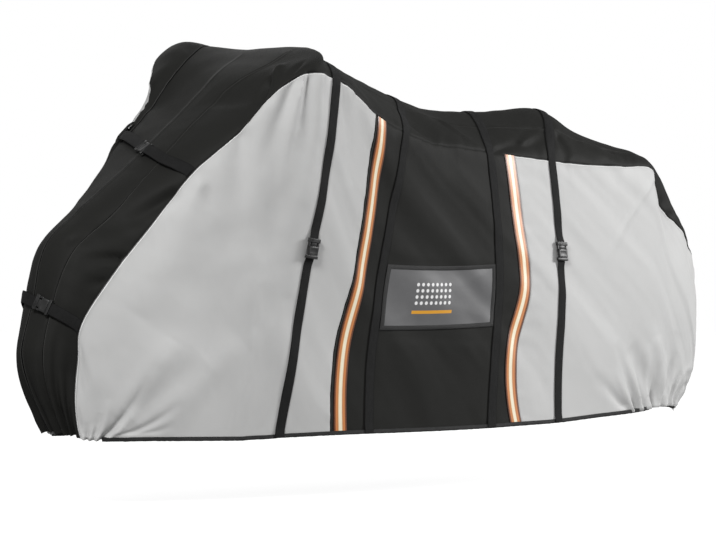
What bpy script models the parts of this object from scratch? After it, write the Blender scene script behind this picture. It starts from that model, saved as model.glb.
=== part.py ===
"""Fitted outdoor cover, hollow, drawn tight over what it protects.

Metres, +Z up. The nose points to -X, the near side (with the pocket) faces -Y, the long way is X.
The tables are written in the pattern frame (x back from a datum 0.35 m behind the nose, z up from the
ground); the finished part is moved so that its origin is the resting point under the rear crown.
"""
import math

import bmesh
import bpy
import numpy as np

# ---------------------------------------------------------------- driving dimensions (metres)
CLOTH = 0.002             # thickness of the coated cloth
WEBBING = 0.0014          # thickness of the straps
STRAP_WIDTH = 0.023
CROSS_STRAP_WIDTH = 0.025
CROSS_STRAP_END = 0.01    # how far (in w) the straps across the front stop short of the seam
TAPE = 0.001              # thickness of the reflective tape
TAPE_WIDTH = 0.030
FRONT_TAPE_INSET = 0.012  # black cloth left between the panel edge and the tape
REAR_TAPE_INSET = 0.003
BINDING = 0.001           # thickness of the hem binding
BINDING_HEIGHT = 0.010
POCKET_BORDER = 0.010     # width of the binding round the pocket window
POCKET_CLOTH = 0.0012
POCKET_INSET = 0.002      # from the strap beside it
GAP = 0.0003              # between neighbouring pieces
SEAT = 0.0005             # a sewn-on piece sits this far off the cloth
BINDING_SEAT = 0.0008     # the binding sits this far off both faces and the edge
BUCKLE_WIDTH = 0.033
BUCKLE_THICK = 0.009
BUCKLE_BEVEL = 0.0016
SOCKET_LENGTH = 0.026
PRONG_LENGTH = 0.017
PRONG_WIDTH = 0.029
PRONG_THICK = 0.0072
REST_POINT_X = 0.95       # where the inside of the rear crown rests, in the pattern frame

NOSE_STRIP_HALF = 0.080   # half-width of the centre strip, measured along Y
CROWN_STRIP_HALF = 0.170  # it widens over the front crown
CROWN_HEIGHTS = (0.86, 0.94)                # spine heights between which it does so
NEAR_STRIP_SHARE = 0.62                     # never more than this share of the way out to the seam
FAR_STRIP_HALF = 0.190                      # on the far side it is set wider still
FAR_STRIP_HEIGHTS, FAR_STRIP_SHARES = (0.45, 0.60), (0.62, 0.85)
POUCH = 0.085             # the far wall bulges this much under the end of the front crown
POUCH_PLACE, POUCH_LENGTH = 0.700, 0.062
CORNER_SHARE, CORNER_W, CORNER_REACH = 0.10, 0.31, 0.06    # the far crown is squarer at its corner
HEM_TUCK = 0.6            # the far hem rises by this share of the way that it is set back
SOFTENING = 0.016         # how far the cloth rounds off an edge that it lies over

# ---------------------------------------------------------------- the pattern: one rib per station
# Each rib runs from the spine (y = 0) over the seam under the black top to the hem.
# square shapes the way down from spine to seam: 2 is a straight tent slope, 1 round, less is boxy.
STATIONS = (
    # name               spine x      z   seam x     y      z  square  hem x     y      z
    ("front hem",         -0.285, 0.153, -0.254, 0.074, 0.146,  1.00, -0.250, 0.077, 0.140),
    ("low nose",          -0.328, 0.232, -0.264, 0.073, 0.222,  0.90, -0.240, 0.084, 0.139),
    ("nose",              -0.350, 0.316, -0.261, 0.080, 0.312,  0.90, -0.220, 0.100, 0.138),
    ("lower cross strap", -0.325, 0.427, -0.263, 0.088, 0.370,  0.90, -0.180, 0.125, 0.138),
    ("under slope",       -0.283, 0.550, -0.200, 0.111, 0.478,  1.00, -0.105, 0.152, 0.137),
    ("slope",             -0.170, 0.648, -0.122, 0.131, 0.576,  1.10, -0.040, 0.172, 0.136),
    ("upper cross strap", -0.047, 0.747, -0.038, 0.161, 0.687,  1.10,  0.015, 0.183, 0.135),
    ("upper slope",        0.077, 0.854,  0.038, 0.212, 0.772,  1.00,  0.060, 0.190, 0.134),
    ("under crown",        0.165, 0.928,  0.095, 0.262, 0.856,  0.80,  0.095, 0.195, 0.135),
    ("front crown",        0.240, 0.961,  0.150, 0.291, 0.896,  0.75,  0.122, 0.198, 0.135),
    ("first strap",        0.360, 0.953,  0.233, 0.300, 0.890,  1.62,  0.151, 0.200, 0.136),
    ("front panel edge",   0.470, 0.917,  0.366, 0.256, 0.820,  1.50,  0.282, 0.207, 0.138),
    ("second strap",       0.600, 0.874,  0.478, 0.222, 0.786,  1.80,  0.381, 0.210, 0.138),
    ("middle",             0.710, 0.851,  0.622, 0.185, 0.763,  1.90,  0.555, 0.210, 0.137),
    ("third strap",        0.830, 0.853,  0.766, 0.155, 0.751,  1.80,  0.728, 0.205, 0.138),
    ("rear panel edge",    0.920, 0.853,  0.848, 0.145, 0.744,  1.60,  0.823, 0.200, 0.140),
    ("fourth strap",       1.040, 0.857,  0.968, 0.130, 0.734,  1.40,  0.940, 0.190, 0.142),
    ("rear crown",         1.125, 0.814,  1.068, 0.120, 0.728,  1.30,  1.070, 0.171, 0.148),
    ("rear slope",         1.250, 0.782,  1.207, 0.100, 0.727,  1.20,  1.195, 0.146, 0.153),
    ("yoke corner",        1.345, 0.752,  1.325, 0.082, 0.722,  1.00,  1.285, 0.121, 0.158),
    ("upper back",         1.405, 0.710,  1.345, 0.069, 0.685,  1.00,  1.335, 0.102, 0.161),
    ("back notch",         1.452, 0.645,  1.372, 0.058, 0.635,  1.00,  1.375, 0.084, 0.161),
    ("back",               1.490, 0.572,  1.458, 0.042, 0.582,  0.90,  1.400, 0.068, 0.160),
    ("tail",               1.533, 0.430,  1.522, 0.022, 0.430,  0.90,  1.425, 0.056, 0.157),
    ("low tail",           1.508, 0.285,  1.500, 0.020, 0.285,  0.90,  1.435, 0.048, 0.154),
    ("rear hem",           1.441, 0.152,  1.433, 0.026, 0.155,  1.00,  1.426, 0.048, 0.151),
)
# The wall below the seam: how far it stands out half way down, and its sway along X at 1/4, 1/2, 3/4.
WALLS = (
    # name               belly    1/4     1/2     3/4
    ("front hem",          0.000,  0.000,  0.000,  0.000),
    ("low nose",           0.004, -0.004, -0.004, -0.002),
    ("nose",               0.006, -0.006, -0.006, -0.003),
    ("lower cross strap",  0.008, -0.010, -0.010, -0.005),
    ("under slope",        0.010, -0.010, -0.010, -0.005),
    ("slope",              0.012, -0.006, -0.006, -0.003),
    ("upper cross strap",  0.012, -0.002, -0.002,  0.000),
    ("upper slope",        0.010,  0.004,  0.004,  0.002),
    ("under crown",        0.006,  0.008,  0.006,  0.003),
    ("front crown",        0.002,  0.012,  0.008,  0.004),
    ("first strap",        0.000,  0.008,  0.003,  0.002),
    ("front panel edge",  -0.004,  0.009,  0.006, -0.017),
    ("second strap",      -0.004, -0.007, -0.015, -0.015),
    ("middle",             0.000,  0.006,  0.006,  0.000),
    ("third strap",        0.002,  0.018,  0.025,  0.012),
    ("rear panel edge",    0.003,  0.017,  0.034, -0.016),
    ("fourth strap",       0.004,  0.015,  0.016,  0.005),
    ("rear crown",         0.006,  0.006,  0.008,  0.004),
    ("rear slope",         0.008,  0.004,  0.004,  0.002),
    ("yoke corner",        0.012,  0.006,  0.008,  0.004),
    ("upper back",         0.014,  0.012,  0.016,  0.008),
    ("back notch",         0.014,  0.016,  0.020,  0.010),
    ("back",               0.012,  0.014,  0.018,  0.010),
    ("tail",               0.018,  0.010,  0.012,  0.006),
    ("low tail",           0.014,  0.006,  0.008,  0.004),
    ("rear hem",           0.000,  0.000,  0.000,  0.000),
)
# What differs on the far side: how far its top stands higher, its width, and how far it is set back
FAR_SIDE = (
    # name                 rise  width   back
    ("front hem",         0.000,  0.90, 0.020),
    ("nose",              0.000,  0.98, 0.004),
    ("lower cross strap", 0.000,  1.00, 0.000),
    ("under slope",       0.004,  1.02, 0.000),
    ("slope",             0.024,  1.20, 0.000),
    ("upper cross strap", 0.030,  1.10, 0.000),
    ("upper slope",       0.034,  0.85, 0.000),
    ("under crown",       0.044,  0.81, 0.000),
    ("front crown",       0.052,  0.95, 0.000),
    ("first strap",       0.036,  0.95, 0.000),
    ("front panel edge",  0.004,  1.00, 0.000),
    ("second strap",      0.000,  1.00, 0.000),
    ("middle",            0.000,  1.00, 0.000),
    ("rear hem",          0.000,  1.00, 0.000),
)
NAMES = [row[0] for row in STATIONS]
TABLE = np.array([station[1:] + wall[1:] for station, wall in zip(STATIONS, WALLS, strict=True)])

# Main folds, drawn on the side view: from x, z to x, z | width | height (minus is a trough)
FOLDS = (
    # name                    x      z       x      z    width  height
    ("drawn from front hem", -0.200, 0.180, -0.085, 0.345, 0.026, 0.008),
    ("beside it",            -0.170, 0.180, -0.020, 0.300, 0.030, -0.008),
    ("long front pull",      -0.160, 0.160, 0.060, 0.340, 0.034, 0.007),
    ("along the front seam", -0.170, 0.400, 0.000, 0.620, 0.045, 0.008),
    ("under crown end",       0.130, 0.780, 0.090, 0.460, 0.032, -0.006),
    ("behind crown end",      0.190, 0.800, 0.150, 0.420, 0.034, 0.006),
    ("crown end hollow",      0.070, 0.900, 0.060, 0.830, 0.036, -0.010),
    ("nose crease",          -0.262, 0.560, -0.160, 0.600, 0.026, -0.006),
    ("yoke ridge",            0.600, 0.850, 0.690, 0.770, 0.030, 0.006),
    ("yoke trough",           0.530, 0.850, 0.610, 0.770, 0.030, -0.006),
    ("rear crown drop",       1.000, 0.830, 0.900, 0.760, 0.030, -0.007),
    ("pocket wall pull",      0.640, 0.720, 0.760, 0.620, 0.034, 0.005),
    ("drawn from rear hem",   1.310, 0.170, 1.210, 0.310, 0.026, -0.008),
    ("beside the rear",       1.350, 0.175, 1.310, 0.330, 0.022, 0.008),
    ("tail pull",             1.375, 0.180, 1.410, 0.340, 0.022, -0.006),
)

# How far the ribs of the nose lean up the slope, from the near seam to the far one, at the named ribs
LEAN = {"front hem": 0.0, "nose": 0.006, "lower cross strap": 0.016, "slope": 0.040,
        "upper cross strap": 0.056, "under crown": 0.040, "first strap": 0.0}
LEAN_W = (-1.0, -0.40, -0.30, -0.20, -0.10, 0.0, 0.10, 0.17, 0.40, 1.0)
LEAN_SHARE = (0.0, 0.0, -0.26, -0.36, -0.28, -0.08, 0.46, 0.90, 1.0, 0.0)

# Places along the ribs: w is -1 at the near hem, 0 on the spine, +1 at the far hem
W_STRIP = 0.15
W_SEAM = 0.40
RIB_STEPS = 160
LONG_STEPS = 560


def smooth_through(knots, values, places):
    """A curve through all the values, with its slope at each one taken from its two neighbours."""
    knots, values, places = np.asarray(knots), np.asarray(values), np.atleast_1d(places)
    run = np.diff(knots)[:, None]
    slope = np.diff(values, axis=0) / run
    tangent = np.zeros_like(values)
    tangent[1:-1] = (slope[:-1] * run[1:] + slope[1:] * run[:-1]) / (run[:-1] + run[1:])
    tangent[0] = 2 * slope[0] - tangent[1]
    tangent[-1] = 2 * slope[-1] - tangent[-2]
    i = np.clip(np.searchsorted(knots, places, side="right") - 1, 0, len(knots) - 2)
    span = (knots[i + 1] - knots[i])[:, None]
    t = (places - knots[i])[:, None] / span
    return (values[i] * (2 * t**3 - 3 * t**2 + 1) + tangent[i] * span * (t**3 - 2 * t**2 + t)
            + values[i + 1] * (3 * t**2 - 2 * t**3) + tangent[i + 1] * span * (t**3 - t**2))


def lengths_along(points):
    steps = np.linalg.norm(np.diff(points, axis=0), axis=1)
    return np.concatenate([[0.0], np.cumsum(steps)])


def station_knots():
    """Distance along the cover to each station, the mean of spine, seam and hem."""
    lines = (TABLE[:, 0:2], TABLE[:, 2:5], TABLE[:, 6:9])
    return sum(lengths_along(line) for line in lines) / len(lines)


KNOTS = station_knots()
LENGTH = KNOTS[-1]


def ease(low, high, value):
    """0 below low, 1 above high, smooth between."""
    t = np.clip((value - low) / (high - low), 0, 1)
    return t * t * (3 - 2 * t)


def station(name):
    return KNOTS[NAMES.index(name)]


def soften(points, step):
    """Round a rib off: average each point with its neighbours, mirrored past the spine."""
    reach = int(math.ceil(3 * SOFTENING / step))
    past_spine = points[1:reach + 1][::-1] * (1, -1, 1)
    past_hem = 2 * points[-1] - points[-reach - 1:-1][::-1]
    padded = np.vstack([past_spine, points, past_hem])
    weights = np.exp(-0.5 * (np.arange(-reach, reach + 1) * step / SOFTENING)**2)
    weights /= weights.sum()
    rounded = np.stack([np.convolve(padded[:, k], weights, mode="valid") for k in range(3)], axis=1)
    rounded[0, 1] = 0.0
    return rounded


def strip_half_width(seam_y, spine_z, far):
    """Half-width of the centre strip at a rib."""
    if far:
        share = np.interp(spine_z, FAR_STRIP_HEIGHTS, FAR_STRIP_SHARES)
        return min(FAR_STRIP_HALF, share * seam_y)
    half = NOSE_STRIP_HALF + (CROWN_STRIP_HALF - NOSE_STRIP_HALF) * float(ease(*CROWN_HEIGHTS, spine_z))
    return min(half, NEAR_STRIP_SHARE * seam_y)


def rounded_slant(out):
    """A strap's slant over the top in plan, from 1 on the spine to 0 at the seam, round at the spine."""
    bend = 0.35
    end = math.hypot(1, bend)
    return (end - np.hypot(out, bend)) / (end - bend)


def rib(row, far):
    """Points of one rib from the spine to the hem, evenly spread inside strip, flank and wall."""
    spine_x, spine_z, seam_x, seam_y, seam_z, square, hem_x, hem_y, hem_z, belly = row[:10]
    square = min(max(square, 0.5), 2.2)
    angle = np.linspace(0, math.pi / 2, 60)
    down = np.cos(angle)**square
    down[-1] = 0.0
    out = np.sin(angle)**square
    slant = np.clip((square - 1.0) / 0.5, 0, 1)
    forward = down + slant * (rounded_slant(out) - down)
    top = np.stack([seam_x + (spine_x - seam_x) * forward, seam_y * out,
                    seam_z + (spine_z - seam_z) * down], axis=1)
    t = np.linspace(0, 1, 60)[1:]
    sway = smooth_through((0, 0.25, 0.5, 0.75, 1), np.array([[0], *row[10:13, None], [0]]), t)[:, 0]
    wall = np.stack([seam_x + (hem_x - seam_x) * t + sway,
                     seam_y + (hem_y - seam_y) * t + belly * 4 * t * (1 - t),
                     seam_z + (hem_z - seam_z) * t], axis=1)
    rough = np.vstack([top, wall])
    along = lengths_along(rough)
    even = np.linspace(0, along[-1], 241)
    points = np.stack([np.interp(even, along, rough[:, k]) for k in range(3)], axis=1)
    points = soften(points, even[1])
    final = lengths_along(points)
    to_seam = np.interp(along[59], even, final)
    before_seam = even <= along[59]
    rising = np.maximum.accumulate(points[before_seam, 1])
    to_strip = np.interp(strip_half_width(seam_y, spine_z, far), rising, final[before_seam])
    marks = np.interp(np.linspace(0, 1, RIB_STEPS + 1), (0, W_STRIP, W_SEAM, 1),
                      (0, to_strip, to_seam, final[-1]))
    return np.stack([np.interp(marks, final, points[:, k]) for k in range(3)], axis=1)


def shape_far_side(points, rows):
    """The far side stands higher and narrower at the front crown, and wider down the slope of the nose."""
    w = np.linspace(0, 1, RIB_STEPS + 1)
    knots = [station(row[0]) for row in FAR_SIDE]
    rise, width, back = smooth_through(knots, np.array([row[1:] for row in FAR_SIDE]), rows).T[:, :, None]
    shaped = points.copy()
    shaped[..., 0] += back * ease(0.05, 0.35, w)
    shaped[..., 1] *= 1 + (width - 1) * ease(0.0, 0.12, w) * (1 - ease(0.55, 0.95, w))
    corner = CORNER_SHARE * np.exp(-((w - CORNER_W) / CORNER_REACH)**2)
    lifted = ease(0.0, 0.28, w) * (1 - ease(0.42, 0.75, w)) + corner
    shaped[..., 2] += rise * lifted
    shaped[..., 2] += HEM_TUCK * back * ease(0.15, 0.5, w)
    along = np.exp(-((rows - POUCH_PLACE) / POUCH_LENGTH)**2)[:, None]
    shaped[..., 1] += POUCH * along * ease(0.40, 0.47, w) * (1 - ease(0.50, 0.68, w))
    return shaped


def outward_normals(points):
    long_way = np.gradient(points, axis=0)
    across = np.gradient(points, axis=1)
    normal = np.cross(long_way, across)
    return normal / np.maximum(np.linalg.norm(normal, axis=2, keepdims=True), 1e-9)


def fold_height(points, w):
    """How far the main folds lift the cloth at each point, from the table above."""
    total = np.zeros(points.shape[:2])
    for name, x0, z0, x1, z1, width, height in FOLDS:
        run = np.array([x1 - x0, z1 - z0])
        offset = points[..., (0, 2)] - (x0, z0)
        t = np.clip(offset @ run / (run @ run), 0, 1)
        distance = np.linalg.norm(offset - t[..., None] * run, axis=2)
        taper = np.sqrt(np.clip(4 * t * (1 - t), 0.05, 1))
        away_from_spine = np.clip((np.abs(w) - 0.06) / 0.12, 0, 1)
        total += height * taper * np.exp(-(distance / width)**2) * away_from_spine
    return total


def lean_ribs(points, w):
    """Slide the points along the cover, so that the ribs of the nose run up towards the far side."""
    u = np.linspace(0, LENGTH, LONG_STEPS + 1)
    knots = [station(name) for name in LEAN]
    strength = smooth_through(knots, np.array(list(LEAN.values()))[:, None], np.minimum(u, knots[-1]))[:, 0]
    share = smooth_through(LEAN_W, np.array(LEAN_SHARE)[:, None], w)[:, 0]
    leant = points.copy()
    for column, part in enumerate(share):
        for axis in range(3):
            leant[:, column, axis] = np.interp(u + strength * part, u, points[:, column, axis])
    return leant


def drape():
    """The whole outer surface as a fine sheet of points, long way first, near hem to far hem."""
    places = np.linspace(0, LENGTH, LONG_STEPS + 1)
    rows = smooth_through(KNOTS, TABLE, places)
    near = np.stack([rib(row, far=False) for row in rows]) * (1, -1, 1)
    far = shape_far_side(np.stack([rib(row, far=True) for row in rows]), places)
    points = np.concatenate([near[:, ::-1], far[:, 1:]], axis=1)
    w = np.linspace(-1, 1, 2 * RIB_STEPS + 1)
    points = lean_ribs(points, w)
    return points + outward_normals(points) * fold_height(points, w)[..., None]


SURFACE = drape()
NORMALS = outward_normals(SURFACE)


def real_scales():
    """Metres moved square to a rib for one unit of u, and square to the long way for one unit of w."""
    long_way = np.gradient(SURFACE, axis=0) * LONG_STEPS / LENGTH
    across = np.gradient(SURFACE, axis=1) * RIB_STEPS
    area = np.linalg.norm(np.cross(long_way, across), axis=2)
    return area / np.linalg.norm(across, axis=2), area / np.linalg.norm(long_way, axis=2)


ALONG_SCALE, ACROSS_SCALE = real_scales()


def sample(field, u, w):
    """Read a field of the fine sheet at u (metres along) and w (-1 to 1 across)."""
    a = np.clip(np.asarray(u) / LENGTH * LONG_STEPS, 0, LONG_STEPS - 1e-6)
    b = np.clip((np.asarray(w) + 1) * RIB_STEPS, 0, 2 * RIB_STEPS - 1e-6)
    a, b = np.broadcast_arrays(a, b)
    i, j = a.astype(int), b.astype(int)
    s, t = a - i, b - j
    if field.ndim == 3:
        s, t = s[..., None], t[..., None]
    return ((field[i, j] * (1 - s) + field[i + 1, j] * s) * (1 - t)
            + (field[i, j + 1] * (1 - s) + field[i + 1, j + 1] * s) * t)


def unit(vectors):
    return vectors / np.linalg.norm(vectors, axis=-1, keepdims=True)


def rest_point():
    """The point inside the rear crown that rests, which becomes the part's origin."""
    u = np.linspace(station("middle"), station("rear crown"), 400)
    spine = sample(SURFACE, u, 0.0)
    at = float(np.interp(REST_POINT_X, spine[:, 0], u))
    return sample(SURFACE, at, 0.0) - CLOTH * unit(sample(NORMALS, at, 0.0))


ORIGIN = rest_point() * (1, 0, 1)


# ---------------------------------------------------------------- columns and rows shared by all pieces
def fill(start, end, cells):
    """Plain columns between two stations, both left out."""
    a, b = station(start), station(end)
    return [(a + (b - a) * k / cells, 0.0) for k in range(1, cells)]


def column(name, offset=0.0):
    """A column that stays a real distance from a station's rib, all the way across the cover."""
    return (station(name), offset)


def strap_columns(name, width):
    return [column(name, -width / 2), column(name, width / 2)]


def span(start, end, cells=2):
    """A station's own column and the plain ones after it, as far as the next."""
    return [column(start)] + fill(start, end, cells)


HALF_STRAP = STRAP_WIDTH / 2
POCKET_EDGE = HALF_STRAP + POCKET_INSET
FILM_EDGE = POCKET_EDGE + POCKET_BORDER

FRONT_COLUMNS = (
    span("front hem", "low nose") + span("low nose", "nose") + [column("nose")]
    + strap_columns("lower cross strap", CROSS_STRAP_WIDTH)
    + fill("lower cross strap", "under slope", 2)
    + span("under slope", "slope") + span("slope", "upper cross strap")
    + strap_columns("upper cross strap", CROSS_STRAP_WIDTH)
    + fill("upper cross strap", "upper slope", 2)
    + span("upper slope", "under crown") + span("under crown", "front crown") + [column("front crown")]
    + strap_columns("first strap", STRAP_WIDTH)
    + fill("first strap", "front panel edge", 2)
)
MIDDLE_COLUMNS = (
    [column("front panel edge")]
    + [column("front panel edge", FRONT_TAPE_INSET + part) for part in (0, TAPE_WIDTH)]
    + strap_columns("second strap", STRAP_WIDTH)
    + [column("second strap", POCKET_EDGE), column("second strap", FILM_EDGE)]
    + fill("second strap", "middle", 2) + span("middle", "third strap")
    + [column("third strap", -FILM_EDGE), column("third strap", -POCKET_EDGE)]
    + strap_columns("third strap", STRAP_WIDTH)
    + [column("rear panel edge", -REAR_TAPE_INSET - part) for part in (TAPE_WIDTH, 0)]
)
REAR_COLUMNS = (
    span("rear panel edge", "fourth strap")
    + strap_columns("fourth strap", STRAP_WIDTH)
    + fill("fourth strap", "rear crown", 2)
    + span("rear crown", "rear slope") + span("rear slope", "yoke corner")
    + span("yoke corner", "upper back") + span("upper back", "back notch") + span("back notch", "back")
    + span("back", "tail") + span("tail", "low tail") + span("low tail", "rear hem")
    + [column("rear hem")]
)
COLUMNS = FRONT_COLUMNS + MIDDLE_COLUMNS + REAR_COLUMNS

# The pieces of the black top are divided along the edges of straps, where it shows least
TOP_STRETCHES = (
    # stretch, and the column that it ends at
    ("nose", strap_columns("upper cross strap", CROSS_STRAP_WIDTH)[0]),
    ("crown", strap_columns("first strap", STRAP_WIDTH)[0]),
    ("back", column("rear hem")),
)

# Rows down a wall, as shares of the way from the seam (0) to the hem (1)
POCKET_TOP, POCKET_BOTTOM = 0.444, 0.664
FILM_TOP, FILM_BOTTOM = 0.459, 0.649
WALL_ROWS = (0.0, 0.10, 0.21, 0.33, POCKET_TOP, FILM_TOP, 0.555, FILM_BOTTOM, POCKET_BOTTOM, 0.76, 0.88)
POCKET_TILT = -0.035      # the rows rise by this share from the second strap to the third
SHORTEST_CELL = 0.002     # in w, where a strap is cut off between two rows
FLANK_CELLS = 4
STRIP_CELLS = 2

# Buckles: how far down the near wall from seam to hem, and w on the straps across the front
SIDE_BUCKLES = {"first": 0.471, "fourth": 0.350}
CROSS_BUCKLES = {"lower": -0.106, "upper": -0.020}


def column_u(at, w):
    """u of a column at each w, so that its offset keeps its real size."""
    base, offset = at
    return base + offset / sample(ALONG_SCALE, base, w)


def wall_w(share, u):
    """|w| of a wall row at u; the rows rise a little between the pocket's two sides."""
    tilt = np.interp(u, (station("second strap"), station("third strap")), (0, POCKET_TILT))
    tilt = tilt * 4 * share * (1 - share)
    return W_SEAM + (1 - W_SEAM) * (share + tilt)


def binding_share(u, side):
    """|w| of the top edge of the hem binding at u."""
    reach = BINDING_HEIGHT / sample(ACROSS_SCALE, u, side * 0.97)
    return 1 - np.minimum(reach, 0.12)


def side_rows(side):
    """Row functions of one wall from seam to hem: each gives w at u."""
    rows = [lambda u, share=share: side * wall_w(share, u) for share in WALL_ROWS]
    rows.append(lambda u: side * binding_share(u, side))
    rows.append(lambda u: side * np.ones_like(u))
    return rows


def level_rows(start, end, cells):
    return [lambda u, w=w: np.full_like(u, w) for w in np.linspace(start, end, cells + 1)]


def lattice(columns, rows):
    """u and w at each crossing of the columns and rows."""
    u = np.array([[at[0] for _ in rows] for at in columns], dtype=float)
    w = np.zeros_like(u)
    for j, row in enumerate(rows):
        w[:, j] = row(u[:, j])
    for i, at in enumerate(columns):
        u[i] = column_u(at, w[i])
    return u, w


def inset(u, w, ends=(0, 0), edges=(0, 0)):
    """Draw a lattice in by half a gap, at its ends (u) and edges (w) where asked."""
    half = GAP / 2
    u, w = u.copy(), w.copy()
    for k, edge in zip((0, -1), edges):
        inward = np.sign(w[:, 1 if k == 0 else -2] - w[:, k])
        w[:, k] += edge * inward * half / sample(ACROSS_SCALE, u[:, k], w[:, k])
    for k, end in zip((0, -1), ends):
        inward = np.sign(u[1 if k == 0 else -2] - u[k])
        u[k] += end * inward * half / sample(ALONG_SCALE, u[k], w[k])
    return u, w


# ---------------------------------------------------------------- materials
def material(name, colour, roughness, metallic=0.0):
    made = bpy.data.materials.new(name)
    made.use_nodes = True
    shader = made.node_tree.nodes["Principled BSDF"]
    shader.inputs["Base Color"].default_value = (*colour, 1)
    shader.inputs["Roughness"].default_value = roughness
    shader.inputs["Metallic"].default_value = metallic
    made.diffuse_color = (*colour, 1)
    return made


def make_materials():
    return {
        "black cloth": material("black cloth", (0.028, 0.028, 0.026), 0.7),
        "grey cloth": material("grey cloth", (0.60, 0.60, 0.60), 0.55),
        "webbing": material("webbing", (0.022, 0.022, 0.022), 0.75),
        "tape": material("tape", (0.80, 0.30, 0.08), 0.45),
        "binding": material("binding", (0.018, 0.018, 0.018), 0.7),
        "film": material("film", (0.13, 0.13, 0.13), 0.2),
        "buckle": material("buckle", (0.015, 0.015, 0.015), 0.35),
    }


# ---------------------------------------------------------------- making the pieces
def slab(name, face, back, finish, collection, holes=()):
    """A closed sheet: a grid primitive, extruded, its vertices moved to the face and the back."""
    across, down = face.shape[:2]
    sheet = bmesh.new()
    bmesh.ops.create_grid(sheet, x_segments=across - 1, y_segments=down - 1, size=1.0)

    def cell(vertex):
        return (round((vertex.co.x + 1) / 2 * (across - 1)), round((vertex.co.y + 1) / 2 * (down - 1)))

    cut_out = [tile for tile in sheet.faces
               if tuple(np.min([cell(corner) for corner in tile.verts], axis=0)) in holes]
    bmesh.ops.delete(sheet, geom=cut_out, context="FACES")
    bmesh.ops.triangulate(sheet, faces=sheet.faces, quad_method="FIXED")
    extruded = bmesh.ops.extrude_face_region(sheet, geom=sheet.faces)["geom"]
    raised = {item for item in extruded if isinstance(item, bmesh.types.BMVert)}
    for vertex in sheet.verts:
        vertex.co = (back if vertex in raised else face)[cell(vertex)] - ORIGIN
    bmesh.ops.recalc_face_normals(sheet, faces=sheet.faces)
    if sheet.calc_volume(signed=True) < 0:
        bmesh.ops.reverse_faces(sheet, faces=sheet.faces)
    mesh = bpy.data.meshes.new(name)
    sheet.to_mesh(mesh)
    sheet.free()
    mesh.materials.append(finish)
    collection.objects.link(bpy.data.objects.new(name, mesh))


def panel(name, columns, rows, finish, collection, ends=(1, 1), edges=(1, 1)):
    """A cut piece of cloth: its outer face lies on the drape and its thickness goes inward."""
    u, w = inset(*lattice(columns, rows), ends, edges)
    face = sample(SURFACE, u, w)
    slab(name, face, face - unit(sample(NORMALS, u, w)) * CLOTH, finish, collection)


def sewn_on(name, u, w, lift, thickness, finish, collection, holes=()):
    """A piece sewn on the outside, at its lift over the same crossings as the cloth below it."""
    lift = np.broadcast_to(lift, u.shape)[..., None]
    normal = unit(sample(NORMALS, u, w))
    back = sample(SURFACE, u, w) + normal * lift
    slab(name, back + normal * thickness, back, finish, collection, holes)


def whole_way_rows():
    """All the rows from the near hem over the top to the far hem."""
    return (side_rows(-1)[::-1][:-1] + level_rows(-W_SEAM, -W_STRIP, FLANK_CELLS)[:-1]
            + level_rows(-W_STRIP, W_STRIP, 2 * STRIP_CELLS)
            + level_rows(W_STRIP, W_SEAM, FLANK_CELLS)[1:] + side_rows(1)[1:])


def strap_lift(u, w):
    """A strap climbs over the hem binding at each end."""
    near_hem = np.abs(w) > 0.5 * (binding_share(u, np.sign(w + 1e-9)) + wall_w(WALL_ROWS[-1], u))
    return np.where(near_hem, BINDING_SEAT + BINDING + SEAT, SEAT)


def top_piece(name, rows, finish, collection):
    """One piece of the black top, divided into its stretches from the nose to the back."""
    start = 0
    for stretch, end_column in TOP_STRETCHES:
        end = COLUMNS.index(end_column)
        cut_ends = (int(start > 0), int(end < len(COLUMNS) - 1))
        panel(f"{name}_{stretch}", COLUMNS[start:end + 1], rows, finish, collection, ends=cut_ends)
        start = end


def make_cloth(collection, finish):
    black, grey = finish["black cloth"], finish["grey cloth"]
    strip = level_rows(-W_STRIP, W_STRIP, 2 * STRIP_CELLS)
    top_piece("centre_strip", strip, black, collection)
    for side, word in ((-1, "near"), (1, "far")):
        flank = level_rows(side * W_STRIP, side * W_SEAM, FLANK_CELLS)
        wall = side_rows(side)
        if side < 0:
            flank, wall = flank[::-1], wall[::-1]
        hem_free = (0, 1) if side < 0 else (1, 0)
        top_piece(f"flank_{word}", flank, black, collection)
        panel(f"front_panel_{word}", FRONT_COLUMNS + MIDDLE_COLUMNS[:1], wall, grey, collection,
              ends=(0, 1), edges=hem_free)
        panel(f"middle_panel_{word}", MIDDLE_COLUMNS + REAR_COLUMNS[:1], wall, black, collection,
              edges=hem_free)
        panel(f"rear_panel_{word}", REAR_COLUMNS, wall, grey, collection, ends=(1, 0), edges=hem_free)


def make_tapes(collection, finish):
    strips = (("front", MIDDLE_COLUMNS[1:3]), ("rear", MIDDLE_COLUMNS[-2:]))
    for side, word in ((-1, "near"), (1, "far")):
        rows = side_rows(side)[:-1]
        if side < 0:
            rows = rows[::-1]
        for place, columns in strips:
            u, w = inset(*lattice(columns, rows), edges=(4, 4))
            sewn_on(f"{place}_tape_{word}", u, w, SEAT, TAPE, finish["tape"], collection)


def cut_rows(u, w, near_ends, far_ends):
    """Keep the rows between two places across, given for each edge, with new last rows exactly there."""
    keep = (w[0] > max(near_ends) + SHORTEST_CELL) & (w[0] < min(far_ends) - SHORTEST_CELL)
    new_w = np.stack([np.concatenate([[near], w[0][keep], [far]])
                      for near, far in zip(near_ends, far_ends)])
    new_u = np.stack([np.interp(places, w_edge, u_edge) for places, w_edge, u_edge in zip(new_w, w, u)])
    return new_u, new_w


def step_across(name, w_centre, distances):
    """The places across that lie the given real distances from a place on a rib."""
    w = np.linspace(w_centre - 0.2, w_centre + 0.2, 401)
    along = lengths_along(sample(SURFACE, station(name), w))
    return np.interp(along[200] + np.asarray(distances), along, w)


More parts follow.
